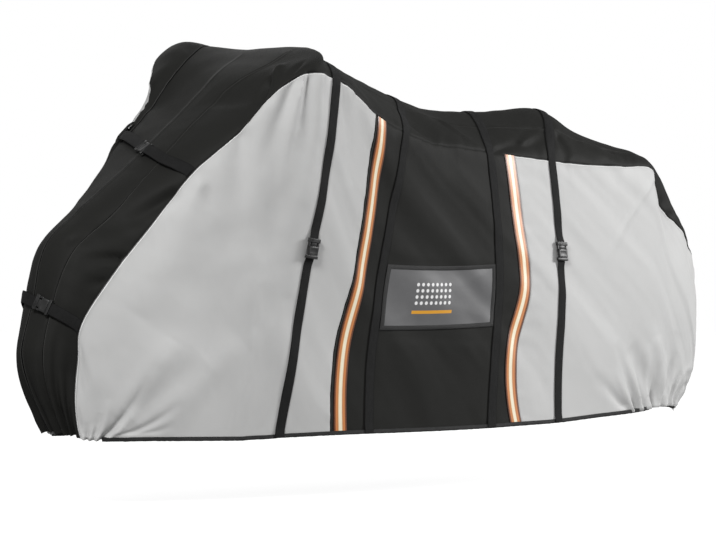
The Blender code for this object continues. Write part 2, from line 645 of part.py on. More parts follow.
def buckle_span(name, w_centre, width):
    """Where each edge of the webbing stops below and above a buckle, square to the buckle."""
    centre, along, _, _ = buckle_frame(name, w_centre)
    reach = (SOCKET_LENGTH + PRONG_LENGTH + GAP) / 2 + 2 * GAP
    w = np.linspace(w_centre - 0.15, w_centre + 0.15, 601)
    below, above = [], []
    for offset in (-width / 2, width / 2):
        u = column_u(column(name, offset), w)
        outward = unit(sample(NORMALS, u, w))
        faces = [(sample(SURFACE, u, w) + outward * lift - centre) @ along for lift in (SEAT, SEAT + WEBBING)]
        below.append(min(np.interp(-reach, face, w) for face in faces))
        above.append(max(np.interp(reach, face, w) for face in faces))
    return below, above


def make_side_straps(collection, finish):
    for word in ("first", "second", "third", "fourth"):
        name = f"{word} strap"
        u, w = lattice(strap_columns(name, STRAP_WIDTH), whole_way_rows())
        if word not in SIDE_BUCKLES:
            sewn_on(f"{word}_strap", u, w, strap_lift(u, w), WEBBING, finish["webbing"], collection)
            continue
        w_buckle = -W_SEAM - (1 - W_SEAM) * SIDE_BUCKLES[word]
        below, above = buckle_span(name, w_buckle, STRAP_WIDTH)
        for part, ends in (("lower", (w[:, 0], below)), ("upper", (above, w[:, -1]))):
            part_u, part_w = cut_rows(u, w, *ends)
            sewn_on(f"{word}_strap_{part}", part_u, part_w, strap_lift(part_u, part_w), WEBBING,
                    finish["webbing"], collection)
        make_buckle(f"{word}_buckle", name, w_buckle, collection, finish)


def make_cross_straps(collection, finish):
    rows = (level_rows(-W_SEAM, -W_STRIP, FLANK_CELLS)[:-1]
            + level_rows(-W_STRIP, W_STRIP, 2 * STRIP_CELLS)
            + level_rows(W_STRIP, W_SEAM, FLANK_CELLS)[1:])
    for word, w_centre in CROSS_BUCKLES.items():
        name = f"{word} cross strap"
        u, w = lattice(strap_columns(name, CROSS_STRAP_WIDTH), rows)
        below, above = buckle_span(name, w_centre, CROSS_STRAP_WIDTH)
        near_half = (w[:, 0] + CROSS_STRAP_END, below)
        far_half = (above, w[:, -1] - CROSS_STRAP_END)
        for half, ends in (("near", near_half), ("far", far_half)):
            half_u, half_w = cut_rows(u, w, *ends)
            sewn_on(f"{word}_cross_strap_{half}", half_u, half_w, SEAT, WEBBING, finish["webbing"],
                    collection)
        make_buckle(f"{word}_cross_buckle", name, w_centre, collection, finish)


def box_object(name, centre, axes, size, finish, collection):
    """A bevelled box whose own X, Y and Z run along three given directions."""
    shape = bmesh.new()
    bmesh.ops.create_cube(shape, size=1.0)
    bmesh.ops.scale(shape, vec=size, verts=shape.verts)
    bmesh.ops.bevel(shape, geom=shape.edges, offset=BUCKLE_BEVEL, segments=1, affect="EDGES")
    for vertex in shape.verts:
        local = np.array(vertex.co)
        vertex.co = centre - ORIGIN + local @ axes
    mesh = bpy.data.meshes.new(name)
    bmesh.ops.recalc_face_normals(shape, faces=shape.faces)
    shape.to_mesh(mesh)
    shape.free()
    mesh.materials.append(finish)
    collection.objects.link(bpy.data.objects.new(name, mesh))


def buckle_frame(name, w_centre):
    """Centre and directions of a buckle: along the strap, across it and out of the cloth."""
    u = station(name)
    length = SOCKET_LENGTH + PRONG_LENGTH + GAP
    out = unit(sample(NORMALS, u, w_centre))
    places = step_across(name, w_centre, np.linspace(-0.5, 0.5, 9) * length)
    ends = sample(SURFACE, u, places)
    along = unit(ends[-1] - ends[0])
    out = unit(out - along * (out @ along))
    across = np.cross(along, out)
    middle = sample(SURFACE, u, w_centre)
    spread_u = BUCKLE_WIDTH / 2 / float(sample(ALONG_SCALE, u, w_centre))
    under = sample(SURFACE, u + spread_u * np.linspace(-1, 1, 9)[:, None], places[None])
    highest = ((under - middle) @ out).max()
    return middle + out * (highest + 2 * SEAT + BUCKLE_THICK / 2), along, across, out


def make_buckle(node, name, w_centre, collection, finish):
    centre, along, across, out = buckle_frame(name, w_centre)
    axes = np.stack([across, along, out])
    whole = SOCKET_LENGTH + PRONG_LENGTH + GAP
    socket = centre - along * (whole - SOCKET_LENGTH) / 2
    prong = centre + along * (whole - PRONG_LENGTH) / 2
    socket_size = (BUCKLE_WIDTH, SOCKET_LENGTH, BUCKLE_THICK)
    prong_size = (PRONG_WIDTH, PRONG_LENGTH, PRONG_THICK)
    box_object(f"{node}_socket", socket, axes, socket_size, finish["buckle"], collection)
    box_object(f"{node}_prong", prong, axes, prong_size, finish["buckle"], collection)


def folded_tape(outer, normal, down, clear):
    """Four lines of a tape folded round the hem: outer leaf, both corners under the edge, inner leaf."""
    inward = CLOTH + clear
    return np.stack([
        outer[:, 0] + normal[:, 0] * clear,
        outer[:, 1] + normal[:, 1] * clear + down * clear,
        outer[:, 1] - normal[:, 1] * inward + down * clear,
        outer[:, 0] - normal[:, 0] * inward,
    ], axis=1)


def make_bindings(collection, finish):
    for side, word in ((-1, "near"), (1, "far")):
        first, last = COLUMNS.index(column("nose")), COLUMNS.index(column("yoke corner"))
        u, w = lattice(COLUMNS[first:last + 1], side_rows(side)[-2:])
        outer = sample(SURFACE, u, w)
        normal = unit(sample(NORMALS, u, w))
        hem_way = unit(np.gradient(outer[:, 1], axis=0))[:, None]
        down = outer[:, 1:] - outer[:, :1]
        down = unit(down - hem_way * np.sum(down * hem_way, axis=2, keepdims=True))[:, 0]
        inside = folded_tape(outer, normal, down, BINDING_SEAT)
        outside = folded_tape(outer, normal, down, BINDING_SEAT + BINDING)
        slab(f"hem_binding_{word}", outside, inside, finish["binding"], collection)


def make_pocket(collection, finish):
    """The window of film and the bound frame round it, between the second and third straps."""
    first = MIDDLE_COLUMNS.index(column("second strap", POCKET_EDGE))
    last = MIDDLE_COLUMNS.index(column("third strap", -POCKET_EDGE))
    columns = MIDDLE_COLUMNS[first:last + 1]
    top = WALL_ROWS.index(POCKET_TOP)
    bottom = WALL_ROWS.index(POCKET_BOTTOM)
    rows = side_rows(-1)[top:bottom + 1][::-1]
    u, w = lattice(columns, rows)
    film_u, film_w = inset(u[1:-1, 1:-1], w[1:-1, 1:-1], ends=(2, 2), edges=(2, 2))
    sewn_on("pocket_film", film_u, film_w, SEAT, TAPE, finish["film"], collection)
    holes = {(i, j) for i in range(1, len(columns) - 2) for j in range(1, len(rows) - 2)}
    sewn_on("pocket_border", u, w, SEAT, POCKET_CLOTH, finish["binding"], collection, holes)


def main():
    for old in list(bpy.data.objects):
        bpy.data.objects.remove(old, do_unlink=True)
    collection = bpy.data.collections.new("outdoor cover")
    bpy.context.scene.collection.children.link(collection)
    finish = make_materials()
    make_cloth(collection, finish)
    make_tapes(collection, finish)
    make_side_straps(collection, finish)
    make_cross_straps(collection, finish)
    make_bindings(collection, finish)
    make_pocket(collection, finish)


main()
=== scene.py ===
# %% [markdown]
# # A fitted outdoor cover, dressed in cloth, webbing and tape
#
# The real cover is sewn from nine cut pieces of coated polyester: a long black strip over the top, a black
# flank on each side of it, and three wall panels a side, grey, black, grey. Webbing, reflective tape, a hem
# binding and a pocket are sewn on the outside. The construction model already has every piece at its true
# place and size. This notebook makes the surface that a person sees: the creases, the puckers along the
# seams, the weave, the stitching and the moulded buckles.
#
# Everything below is in metres, in the frame of that model: +Z up, the nose towards -X, the near side
# (the one with the pocket) towards -Y.

# %% Load the fixed frame
import math

import bpy
import numpy as np
from mathutils import Matrix, Vector


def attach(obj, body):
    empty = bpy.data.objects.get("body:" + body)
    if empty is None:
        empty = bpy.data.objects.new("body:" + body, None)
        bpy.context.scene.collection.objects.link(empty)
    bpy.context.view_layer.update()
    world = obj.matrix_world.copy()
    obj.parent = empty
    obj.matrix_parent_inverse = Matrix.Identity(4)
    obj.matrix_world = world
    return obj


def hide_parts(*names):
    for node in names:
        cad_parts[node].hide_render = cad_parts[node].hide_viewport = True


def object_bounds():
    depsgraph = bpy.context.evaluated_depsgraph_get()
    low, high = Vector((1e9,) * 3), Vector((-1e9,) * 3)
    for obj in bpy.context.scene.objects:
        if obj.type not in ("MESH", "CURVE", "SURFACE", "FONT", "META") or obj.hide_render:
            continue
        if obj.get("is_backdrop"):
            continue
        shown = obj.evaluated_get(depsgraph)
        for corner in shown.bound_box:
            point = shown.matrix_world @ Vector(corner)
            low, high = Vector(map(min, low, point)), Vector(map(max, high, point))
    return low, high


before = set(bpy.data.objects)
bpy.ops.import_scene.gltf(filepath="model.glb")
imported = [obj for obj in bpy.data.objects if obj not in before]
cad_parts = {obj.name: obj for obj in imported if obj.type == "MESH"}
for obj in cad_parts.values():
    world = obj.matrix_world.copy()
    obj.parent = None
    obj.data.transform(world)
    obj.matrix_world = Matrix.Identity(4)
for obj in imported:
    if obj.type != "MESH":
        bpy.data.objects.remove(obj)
cad_box = [list(map(float, corner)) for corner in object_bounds()]
bpy.ops.object.select_all(action="DESELECT")
print("solids in the frame:", len(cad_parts))
print("box of the solids:", cad_box)

# %% [markdown]
# ## The camera
#
# The picture was taken from low down and far away, off the near front corner, with a long lens. A long lens
# keeps the panels' proportions, so the camera is placed first: every later comparison depends on it.

# %% Camera
CAMERA_PLACE = (-4.474, -5.300, -0.337)
CAMERA_YAW = -37.309      # degrees about Z; 0 looks along +Y
CAMERA_PITCH = -0.233
CAMERA_LENS = 150.84      # millimetres, on a sensor 36 mm wide

camera_data = bpy.data.cameras.new("long lens")
camera_data.lens = CAMERA_LENS
camera_data.sensor_width = 36.0
camera_data.sensor_fit = "HORIZONTAL"
camera_data.clip_end = 100.0
camera = bpy.data.objects.new("camera", camera_data)
camera.location = CAMERA_PLACE
camera.rotation_euler = (math.radians(90 + CAMERA_PITCH), 0, math.radians(CAMERA_YAW))
bpy.context.scene.collection.objects.link(camera)
bpy.context.scene.camera = camera
print("camera distance:", round(math.dist(CAMERA_PLACE, (0, 0, 0)), 2), "m")

# %% [markdown]
# ## The pattern
#
# A cover like this is cut from flat paper patterns, but what matters for a picture is the shape it takes once
# it is drawn tight. That shape is written as ribs. Each rib runs from the spine, over the seam under the
# black top, to the hem. A smooth curve through the ribs gives the whole drape. One surface for all the pieces
# means that neighbours always meet, and that straps and tape can lie on it at a known height.

# %% Ribs of the drape (the pattern frame: x back from a datum, z up from the ground)
STATIONS = (
    # name               spine x      z   seam x     y      z  square  hem x     y      z
    ("front hem",         -0.285, 0.153, -0.254, 0.074, 0.146,  1.00, -0.250, 0.077, 0.140),
    ("low nose",          -0.328, 0.232, -0.264, 0.073, 0.222,  0.90, -0.240, 0.084, 0.139),
    ("nose",              -0.350, 0.316, -0.261, 0.080, 0.312,  0.90, -0.220, 0.100, 0.138),
    ("lower cross strap", -0.325, 0.427, -0.263, 0.088, 0.370,  0.90, -0.180, 0.125, 0.138),
    ("under slope",       -0.283, 0.550, -0.200, 0.111, 0.478,  1.00, -0.105, 0.152, 0.137),
    ("slope",             -0.170, 0.648, -0.122, 0.131, 0.576,  1.10, -0.040, 0.172, 0.136),
    ("upper cross strap", -0.047, 0.747, -0.038, 0.161, 0.687,  1.10,  0.015, 0.183, 0.135),
    ("upper slope",        0.077, 0.854,  0.038, 0.212, 0.772,  1.00,  0.060, 0.190, 0.134),
    ("under crown",        0.165, 0.928,  0.095, 0.262, 0.856,  0.80,  0.095, 0.195, 0.135),
    ("front crown",        0.240, 0.961,  0.150, 0.291, 0.896,  0.75,  0.122, 0.198, 0.135),
    ("first strap",        0.360, 0.953,  0.233, 0.300, 0.890,  1.62,  0.151, 0.200, 0.136),
    ("front panel edge",   0.470, 0.917,  0.366, 0.256, 0.820,  1.50,  0.282, 0.207, 0.138),
    ("second strap",       0.600, 0.874,  0.478, 0.222, 0.786,  1.80,  0.381, 0.210, 0.138),
    ("middle",             0.710, 0.851,  0.622, 0.185, 0.763,  1.90,  0.555, 0.210, 0.137),
    ("third strap",        0.830, 0.853,  0.766, 0.155, 0.751,  1.80,  0.728, 0.205, 0.138),
    ("rear panel edge",    0.920, 0.853,  0.848, 0.145, 0.744,  1.60,  0.823, 0.200, 0.140),
    ("fourth strap",       1.040, 0.857,  0.968, 0.130, 0.734,  1.40,  0.940, 0.190, 0.142),
    ("rear crown",         1.125, 0.814,  1.068, 0.120, 0.728,  1.30,  1.070, 0.171, 0.148),
    ("rear slope",         1.250, 0.782,  1.207, 0.100, 0.727,  1.20,  1.195, 0.146, 0.153),
    ("yoke corner",        1.345, 0.752,  1.325, 0.082, 0.722,  1.00,  1.285, 0.121, 0.158),
    ("upper back",         1.405, 0.710,  1.345, 0.069, 0.685,  1.00,  1.335, 0.102, 0.161),
    ("back notch",         1.452, 0.645,  1.372, 0.058, 0.635,  1.00,  1.375, 0.084, 0.161),
    ("back",               1.490, 0.572,  1.458, 0.042, 0.582,  0.90,  1.400, 0.068, 0.160),
    ("tail",               1.533, 0.430,  1.522, 0.022, 0.430,  0.90,  1.425, 0.056, 0.157),
    ("low tail",           1.508, 0.285,  1.500, 0.020, 0.285,  0.90,  1.435, 0.048, 0.154),
    ("rear hem",           1.441, 0.152,  1.433, 0.026, 0.155,  1.00,  1.426, 0.048, 0.151),
)
# The wall below the seam: how far it stands out half way down, and its sway along X at 1/4, 1/2, 3/4.
WALLS = (
    # name               belly    1/4     1/2     3/4
    ("front hem",          0.000,  0.000,  0.000,  0.000),
    ("low nose",           0.004, -0.004, -0.004, -0.002),
    ("nose",               0.006, -0.006, -0.006, -0.003),
    ("lower cross strap",  0.008, -0.010, -0.010, -0.005),
    ("under slope",        0.010, -0.010, -0.010, -0.005),
    ("slope",              0.012, -0.006, -0.006, -0.003),
    ("upper cross strap",  0.012, -0.002, -0.002,  0.000),
    ("upper slope",        0.010,  0.004,  0.004,  0.002),
    ("under crown",        0.006,  0.008,  0.006,  0.003),
    ("front crown",        0.002,  0.012,  0.008,  0.004),
    ("first strap",        0.000,  0.008,  0.003,  0.002),
    ("front panel edge",  -0.004,  0.009,  0.006, -0.017),
    ("second strap",      -0.004, -0.007, -0.015, -0.015),
    ("middle",             0.000,  0.006,  0.006,  0.000),
    ("third strap",        0.002,  0.018,  0.025,  0.012),
    ("rear panel edge",    0.003,  0.017,  0.034, -0.016),
    ("fourth strap",       0.004,  0.015,  0.016,  0.005),
    ("rear crown",         0.006,  0.006,  0.008,  0.004),
    ("rear slope",         0.008,  0.004,  0.004,  0.002),
    ("yoke corner",        0.012,  0.006,  0.008,  0.004),
    ("upper back",         0.014,  0.012,  0.016,  0.008),
    ("back notch",         0.014,  0.016,  0.020,  0.010),
    ("back",               0.012,  0.014,  0.018,  0.010),
    ("tail",               0.018,  0.010,  0.012,  0.006),
    ("low tail",           0.014,  0.006,  0.008,  0.004),
    ("rear hem",           0.000,  0.000,  0.000,  0.000),
)
# What differs on the far side: how far its top stands higher, its width, and how far it is set back
FAR_SIDE = (
    # name                 rise  width   back
    ("front hem",         0.000,  0.90, 0.020),
    ("nose",              0.000,  0.98, 0.004),
    ("lower cross strap", 0.000,  1.00, 0.000),
    ("under slope",       0.004,  1.02, 0.000),
    ("slope",             0.024,  1.20, 0.000),
    ("upper cross strap", 0.030,  1.10, 0.000),
    ("upper slope",       0.034,  0.85, 0.000),
    ("under crown",       0.044,  0.81, 0.000),
    ("front crown",       0.052,  0.95, 0.000),
    ("first strap",       0.036,  0.95, 0.000),
    ("front panel edge",  0.004,  1.00, 0.000),
    ("second strap",      0.000,  1.00, 0.000),
    ("middle",            0.000,  1.00, 0.000),
    ("rear hem",          0.000,  1.00, 0.000),
)
NAMES = [row[0] for row in STATIONS]
TABLE = np.array([line[1:] + wall[1:] for line, wall in zip(STATIONS, WALLS, strict=True)])
print("ribs in the pattern:", len(STATIONS))

# %% The broad folds of the drape: from x, z to x, z | width | height (minus is a trough)
FOLDS = (
    # name                     x      z       x      z    width  height
    ("drawn from front hem", -0.200, 0.180, -0.085, 0.345, 0.026,  0.008),
    ("beside it",            -0.170, 0.180, -0.020, 0.300, 0.030, -0.008),
    ("long front pull",      -0.160, 0.160,  0.060, 0.340, 0.034,  0.007),
    ("along the front seam", -0.170, 0.400,  0.000, 0.620, 0.045,  0.008),
    ("under crown end",       0.130, 0.780,  0.090, 0.460, 0.032, -0.006),
    ("behind crown end",      0.190, 0.800,  0.150, 0.420, 0.034,  0.006),
    ("crown end hollow",      0.070, 0.900,  0.060, 0.830, 0.036, -0.010),
    ("nose crease",          -0.262, 0.560, -0.160, 0.600, 0.026, -0.006),
    ("yoke ridge",            0.600, 0.850,  0.690, 0.770, 0.030,  0.006),
    ("yoke trough",           0.530, 0.850,  0.610, 0.770, 0.030, -0.006),
    ("rear crown drop",       1.000, 0.830,  0.900, 0.760, 0.030, -0.007),
    ("pocket wall pull",      0.640, 0.720,  0.760, 0.620, 0.034,  0.005),
    ("drawn from rear hem",   1.310, 0.170,  1.210, 0.310, 0.026, -0.008),
    ("beside the rear",       1.350, 0.175,  1.310, 0.330, 0.022,  0.008),
    ("tail pull",             1.375, 0.180,  1.410, 0.340, 0.022, -0.006),
)

# %% Sizes that shape the drape
CLOTH = 0.002             # thickness of the cloth in the construction model
NOSE_STRIP_HALF = 0.080   # half-width of the centre strip, measured along Y
CROWN_STRIP_HALF = 0.170  # it widens over the front crown
CROWN_HEIGHTS = (0.86, 0.94)                # spine heights between which it does so
NEAR_STRIP_SHARE = 0.62                     # never more than this share of the way out to the seam
FAR_STRIP_HALF = 0.190                      # on the far side it is set wider still
FAR_STRIP_HEIGHTS, FAR_STRIP_SHARES = (0.45, 0.60), (0.62, 0.85)
POUCH = 0.085             # the far wall bulges this much under the end of the front crown
POUCH_PLACE, POUCH_LENGTH = 0.700, 0.062
CORNER_SHARE, CORNER_W, CORNER_REACH = 0.10, 0.31, 0.06    # the far crown is squarer at its corner
HEM_TUCK = 0.6            # the far hem rises by this share of the way that it is set back
SOFTENING = 0.016         # how far the cloth rounds off an edge that it lies over
REST_POINT_X = 0.95       # where the inside of the rear crown rests

# How far the ribs of the nose lean up the slope, from the near seam to the far one, at the named ribs
LEAN = {"front hem": 0.0, "nose": 0.006, "lower cross strap": 0.016, "slope": 0.040,
        "upper cross strap": 0.056, "under crown": 0.040, "first strap": 0.0}
LEAN_W = (-1.0, -0.40, -0.30, -0.20, -0.10, 0.0, 0.10, 0.17, 0.40, 1.0)
LEAN_SHARE = (0.0, 0.0, -0.26, -0.36, -0.28, -0.08, 0.46, 0.90, 1.0, 0.0)

# Places along a rib: w is -1 at the near hem, 0 on the spine, +1 at the far hem
W_STRIP = 0.15            # the seam between the centre strip and a flank
W_SEAM = 0.40             # the seam between a flank and the wall
RIB_STEPS = 240           # from the spine to the hem, on each side
LONG_STEPS = 700          # from the front hem to the rear hem
ROUGH_STEPS = 60          # points of a rib's top, and of its wall, before they are spread evenly


# %% Curves through the ribs
def smooth_through(knots, values, places):
    """A curve through all the values, with its slope at each one taken from its two neighbours."""
    knots, values, places = np.asarray(knots), np.asarray(values), np.atleast_1d(places)
    run = np.diff(knots)[:, None]
    slope = np.diff(values, axis=0) / run
    tangent = np.zeros_like(values)
    tangent[1:-1] = (slope[:-1] * run[1:] + slope[1:] * run[:-1]) / (run[:-1] + run[1:])
    tangent[0] = 2 * slope[0] - tangent[1]
    tangent[-1] = 2 * slope[-1] - tangent[-2]
    i = np.clip(np.searchsorted(knots, places, side="right") - 1, 0, len(knots) - 2)
    span = (knots[i + 1] - knots[i])[:, None]
    t = (places - knots[i])[:, None] / span
    return (values[i] * (2 * t**3 - 3 * t**2 + 1) + tangent[i] * span * (t**3 - 2 * t**2 + t)
            + values[i + 1] * (3 * t**2 - 2 * t**3) + tangent[i + 1] * span * (t**3 - t**2))


def lengths_along(points):
    steps = np.linalg.norm(np.diff(points, axis=0), axis=1)
    return np.concatenate([[0.0], np.cumsum(steps)])


KNOTS = sum(lengths_along(line) for line in (TABLE[:, 0:2], TABLE[:, 2:5], TABLE[:, 6:9])) / 3
LENGTH = KNOTS[-1]


def ease(low, high, value):
    """0 below low, 1 above high, smooth between."""
    t = np.clip((value - low) / (high - low), 0, 1)
    return t * t * (3 - 2 * t)


def station(name):
    return KNOTS[NAMES.index(name)]


print("length of the cover along its ribs:", round(LENGTH, 3), "m")


# %% One rib, from the spine to the hem
def soften(points, step):
    """Round a rib off: average each point with its neighbours, mirrored past the spine."""
    reach = int(math.ceil(3 * SOFTENING / step))
    past_spine = points[1:reach + 1][::-1] * (1, -1, 1)
    past_hem = 2 * points[-1] - points[-reach - 1:-1][::-1]
    padded = np.vstack([past_spine, points, past_hem])
    weights = np.exp(-0.5 * (np.arange(-reach, reach + 1) * step / SOFTENING)**2)
    weights /= weights.sum()
    rounded = np.stack([np.convolve(padded[:, k], weights, mode="valid") for k in range(3)], axis=1)
    rounded[0, 1] = 0.0
    return rounded


def strip_half_width(seam_y, spine_z, far):
    """Half-width of the centre strip at a rib."""
    if far:
        share = np.interp(spine_z, FAR_STRIP_HEIGHTS, FAR_STRIP_SHARES)
        return min(FAR_STRIP_HALF, share * seam_y)
    half = NOSE_STRIP_HALF + (CROWN_STRIP_HALF - NOSE_STRIP_HALF) * float(ease(*CROWN_HEIGHTS, spine_z))
    return min(half, NEAR_STRIP_SHARE * seam_y)


def rounded_slant(out):
    """A strap's slant over the top in plan, from 1 on the spine to 0 at the seam, round at the spine."""
    bend = 0.35
    end = math.hypot(1, bend)
    return (end - np.hypot(out, bend)) / (end - bend)


def rib(row, far):
    """Points of one rib from the spine to the hem, evenly spread inside strip, flank and wall."""
    spine_x, spine_z, seam_x, seam_y, seam_z, square, hem_x, hem_y, hem_z, belly = row[:10]
    square = min(max(square, 0.5), 2.2)
    angle = np.linspace(0, math.pi / 2, ROUGH_STEPS)
    down = np.cos(angle)**square
    down[-1] = 0.0
    out = np.sin(angle)**square
    slant = np.clip((square - 1.0) / 0.5, 0, 1)
    forward = down + slant * (rounded_slant(out) - down)
    top = np.stack([seam_x + (spine_x - seam_x) * forward, seam_y * out,
                    seam_z + (spine_z - seam_z) * down], axis=1)
    t = np.linspace(0, 1, ROUGH_STEPS)[1:]
    sway = smooth_through((0, 0.25, 0.5, 0.75, 1), np.array([[0], *row[10:13, None], [0]]), t)[:, 0]
    wall = np.stack([seam_x + (hem_x - seam_x) * t + sway,
                     seam_y + (hem_y - seam_y) * t + belly * 4 * t * (1 - t),
                     seam_z + (hem_z - seam_z) * t], axis=1)
    rough = np.vstack([top, wall])
    along = lengths_along(rough)
    at_seam = along[ROUGH_STEPS - 1]
    even = np.linspace(0, along[-1], RIB_STEPS + 1)
    points = np.stack([np.interp(even, along, rough[:, k]) for k in range(3)], axis=1)
    points = soften(points, even[1])
    final = lengths_along(points)
    to_seam = np.interp(at_seam, even, final)
    before_seam = even <= at_seam
    rising = np.maximum.accumulate(points[before_seam, 1])
    to_strip = np.interp(strip_half_width(seam_y, spine_z, far), rising, final[before_seam])
    marks = np.interp(np.linspace(0, 1, RIB_STEPS + 1), (0, W_STRIP, W_SEAM, 1),
                      (0, to_strip, to_seam, final[-1]))
    return np.stack([np.interp(marks, final, points[:, k]) for k in range(3)], axis=1)


# %% The whole drape, as a fine sheet of points
def shape_far_side(points, rows):
    """The far side stands higher and narrower at the front crown, and wider down the slope of the nose."""
    w = np.linspace(0, 1, RIB_STEPS + 1)
    knots = [station(row[0]) for row in FAR_SIDE]
    rise, width, back = smooth_through(knots, np.array([row[1:] for row in FAR_SIDE]), rows).T[:, :, None]
    shaped = points.copy()
    shaped[..., 0] += back * ease(0.05, 0.35, w)
    shaped[..., 1] *= 1 + (width - 1) * ease(0.0, 0.12, w) * (1 - ease(0.55, 0.95, w))
    corner = CORNER_SHARE * np.exp(-((w - CORNER_W) / CORNER_REACH)**2)
    lifted = ease(0.0, 0.28, w) * (1 - ease(0.42, 0.75, w)) + corner
    shaped[..., 2] += rise * lifted
    shaped[..., 2] += HEM_TUCK * back * ease(0.15, 0.5, w)
    along = np.exp(-((rows - POUCH_PLACE) / POUCH_LENGTH)**2)[:, None]
    shaped[..., 1] += POUCH * along * ease(0.40, 0.47, w) * (1 - ease(0.50, 0.68, w))
    return shaped


def outward_normals(points):
    normal = np.cross(np.gradient(points, axis=0), np.gradient(points, axis=1))
    return normal / np.maximum(np.linalg.norm(normal, axis=2, keepdims=True), 1e-9)


def fold_height(points, w):
    """How far the broad folds lift the cloth at each point, from their table."""
    total = np.zeros(points.shape[:2])
    for _, x0, z0, x1, z1, width, height in FOLDS:
        run = np.array([x1 - x0, z1 - z0])
        offset = points[..., (0, 2)] - (x0, z0)
        t = np.clip(offset @ run / (run @ run), 0, 1)
        distance = np.linalg.norm(offset - t[..., None] * run, axis=2)
        taper = np.sqrt(np.clip(4 * t * (1 - t), 0.05, 1))
        away_from_spine = np.clip((np.abs(w) - 0.06) / 0.12, 0, 1)
        total += height * taper * np.exp(-(distance / width)**2) * away_from_spine
    return total


def lean_ribs(points, w):
    """Slide the points along the cover, so that the ribs of the nose run up towards the far side."""
    u = np.linspace(0, LENGTH, LONG_STEPS + 1)
    knots = [station(name) for name in LEAN]
    strength = smooth_through(knots, np.array(list(LEAN.values()))[:, None], np.minimum(u, knots[-1]))[:, 0]
    share = smooth_through(LEAN_W, np.array(LEAN_SHARE)[:, None], w)[:, 0]
    leant = points.copy()
    for column, part in enumerate(share):
        for axis in range(3):
            leant[:, column, axis] = np.interp(u + strength * part, u, points[:, column, axis])
    return leant


def drape():
    places = np.linspace(0, LENGTH, LONG_STEPS + 1)
    rows = smooth_through(KNOTS, TABLE, places)
    near = np.stack([rib(row, far=False) for row in rows]) * (1, -1, 1)
    far = shape_far_side(np.stack([rib(row, far=True) for row in rows]), places)
    points = np.concatenate([near[:, ::-1], far[:, 1:]], axis=1)
    w = np.linspace(-1, 1, 2 * RIB_STEPS + 1)
    points = lean_ribs(points, w)
    return points + outward_normals(points) * fold_height(points, w)[..., None]


SURFACE = drape()
NORMALS = outward_normals(SURFACE)
print("points in the drape:", SURFACE.shape[0] * SURFACE.shape[1])

# %% Real distances on the drape
LONG_WAY = np.gradient(SURFACE, axis=0) * LONG_STEPS / LENGTH
ACROSS_WAY = np.gradient(SURFACE, axis=1) * RIB_STEPS
AREA = np.linalg.norm(np.cross(LONG_WAY, ACROSS_WAY), axis=2)
ALONG_SCALE = AREA / np.linalg.norm(ACROSS_WAY, axis=2)    # metres square to a rib, for one unit of u
ACROSS_SCALE = AREA / np.linalg.norm(LONG_WAY, axis=2)     # metres square to the long way, for one unit of w


def running_length(field, axis, start):
    """Real distance along one axis of the sheet, counted from a row or column."""
    steps = np.linalg.norm(np.diff(field, axis=axis), axis=2)
    total = np.cumsum(steps, axis=axis)
    total = np.insert(total, 0, 0, axis=axis)
    return total - np.take(total, [start], axis=axis)


FROM_NOSE = running_length(SURFACE, 0, 0)
FROM_SPINE = running_length(SURFACE, 1, RIB_STEPS)
print("longest way over the cover, hem to hem:", round(float(np.ptp(FROM_SPINE, axis=1).max()), 3), "m")


def sample(field, u, w):
    """Read a field of the fine sheet at u (metres along the ribs) and w (-1 to 1 across)."""
    a = np.clip(np.asarray(u) / LENGTH * LONG_STEPS, 0, LONG_STEPS - 1e-6)
    b = np.clip((np.asarray(w) + 1) * RIB_STEPS, 0, 2 * RIB_STEPS - 1e-6)
    a, b = np.broadcast_arrays(a, b)
    i, j = a.astype(int), b.astype(int)
    s, t = a - i, b - j
    if field.ndim == 3:
        s, t = s[..., None], t[..., None]
    return ((field[i, j] * (1 - s) + field[i + 1, j] * s) * (1 - t)
            + (field[i, j + 1] * (1 - s) + field[i + 1, j + 1] * s) * t)


def unit(vectors):
    return vectors / np.linalg.norm(vectors, axis=-1, keepdims=True)


def rest_point():
    """The point inside the rear crown that rests, which is the origin of the finished cover."""
    u = np.linspace(station("middle"), station("rear crown"), 400)
    at = float(np.interp(REST_POINT_X, sample(SURFACE, u, 0.0)[:, 0], u))
    return sample(SURFACE, at, 0.0) - CLOTH * unit(sample(NORMALS, at, 0.0))


ORIGIN = rest_point() * (1, 0, 1)
print("the origin lies at", ORIGIN.round(4), "in the pattern frame")

# %% [markdown]
# ## Uneven cloth
#
# Drawn cloth is never even. It billows a few millimetres between its seams, puckers where thread has drawn it
# in, and gathers where elastic pulls the hem together. A cloth simulation could find folds by itself, but the
# picture shows *which* folds are there, so they are placed one by one: a table of creases, each with the
# points it runs between, its width and its height. Seeded noise adds the small unevenness between them.

# %% Smooth noise with a fixed seed
def noise(x, y, seed):
    """Smooth random heights between -1 and 1, one lattice cell to a unit."""
    table = np.random.default_rng(seed).uniform(-1, 1, (64, 64))
    x, y = np.broadcast_arrays(x, y)
    i, j = np.floor(x).astype(int), np.floor(y).astype(int)
    s, t = x - i, y - j
    s, t = s * s * (3 - 2 * s), t * t * (3 - 2 * t)

    def corner(a, b):
        return table[(i + a) % 64, (j + b) % 64]

    return ((corner(0, 0) * (1 - s) + corner(1, 0) * s) * (1 - t)
            + (corner(0, 1) * (1 - s) + corner(1, 1) * s) * t)


U_GRID, W_GRID = np.meshgrid(np.linspace(0, LENGTH, LONG_STEPS + 1),
                             np.linspace(-1, 1, 2 * RIB_STEPS + 1), indexing="ij")
BILLOW = 0.0030 * noise(FROM_NOSE / 0.13, FROM_SPINE / 0.19, 3)
BILLOW += 0.0018 * noise(FROM_NOSE / 0.06, FROM_SPINE / 0.12, 4)
print("billow in millimetres:", (BILLOW.min() * 1000).round(2), "to", (BILLOW.max() * 1000).round(2))
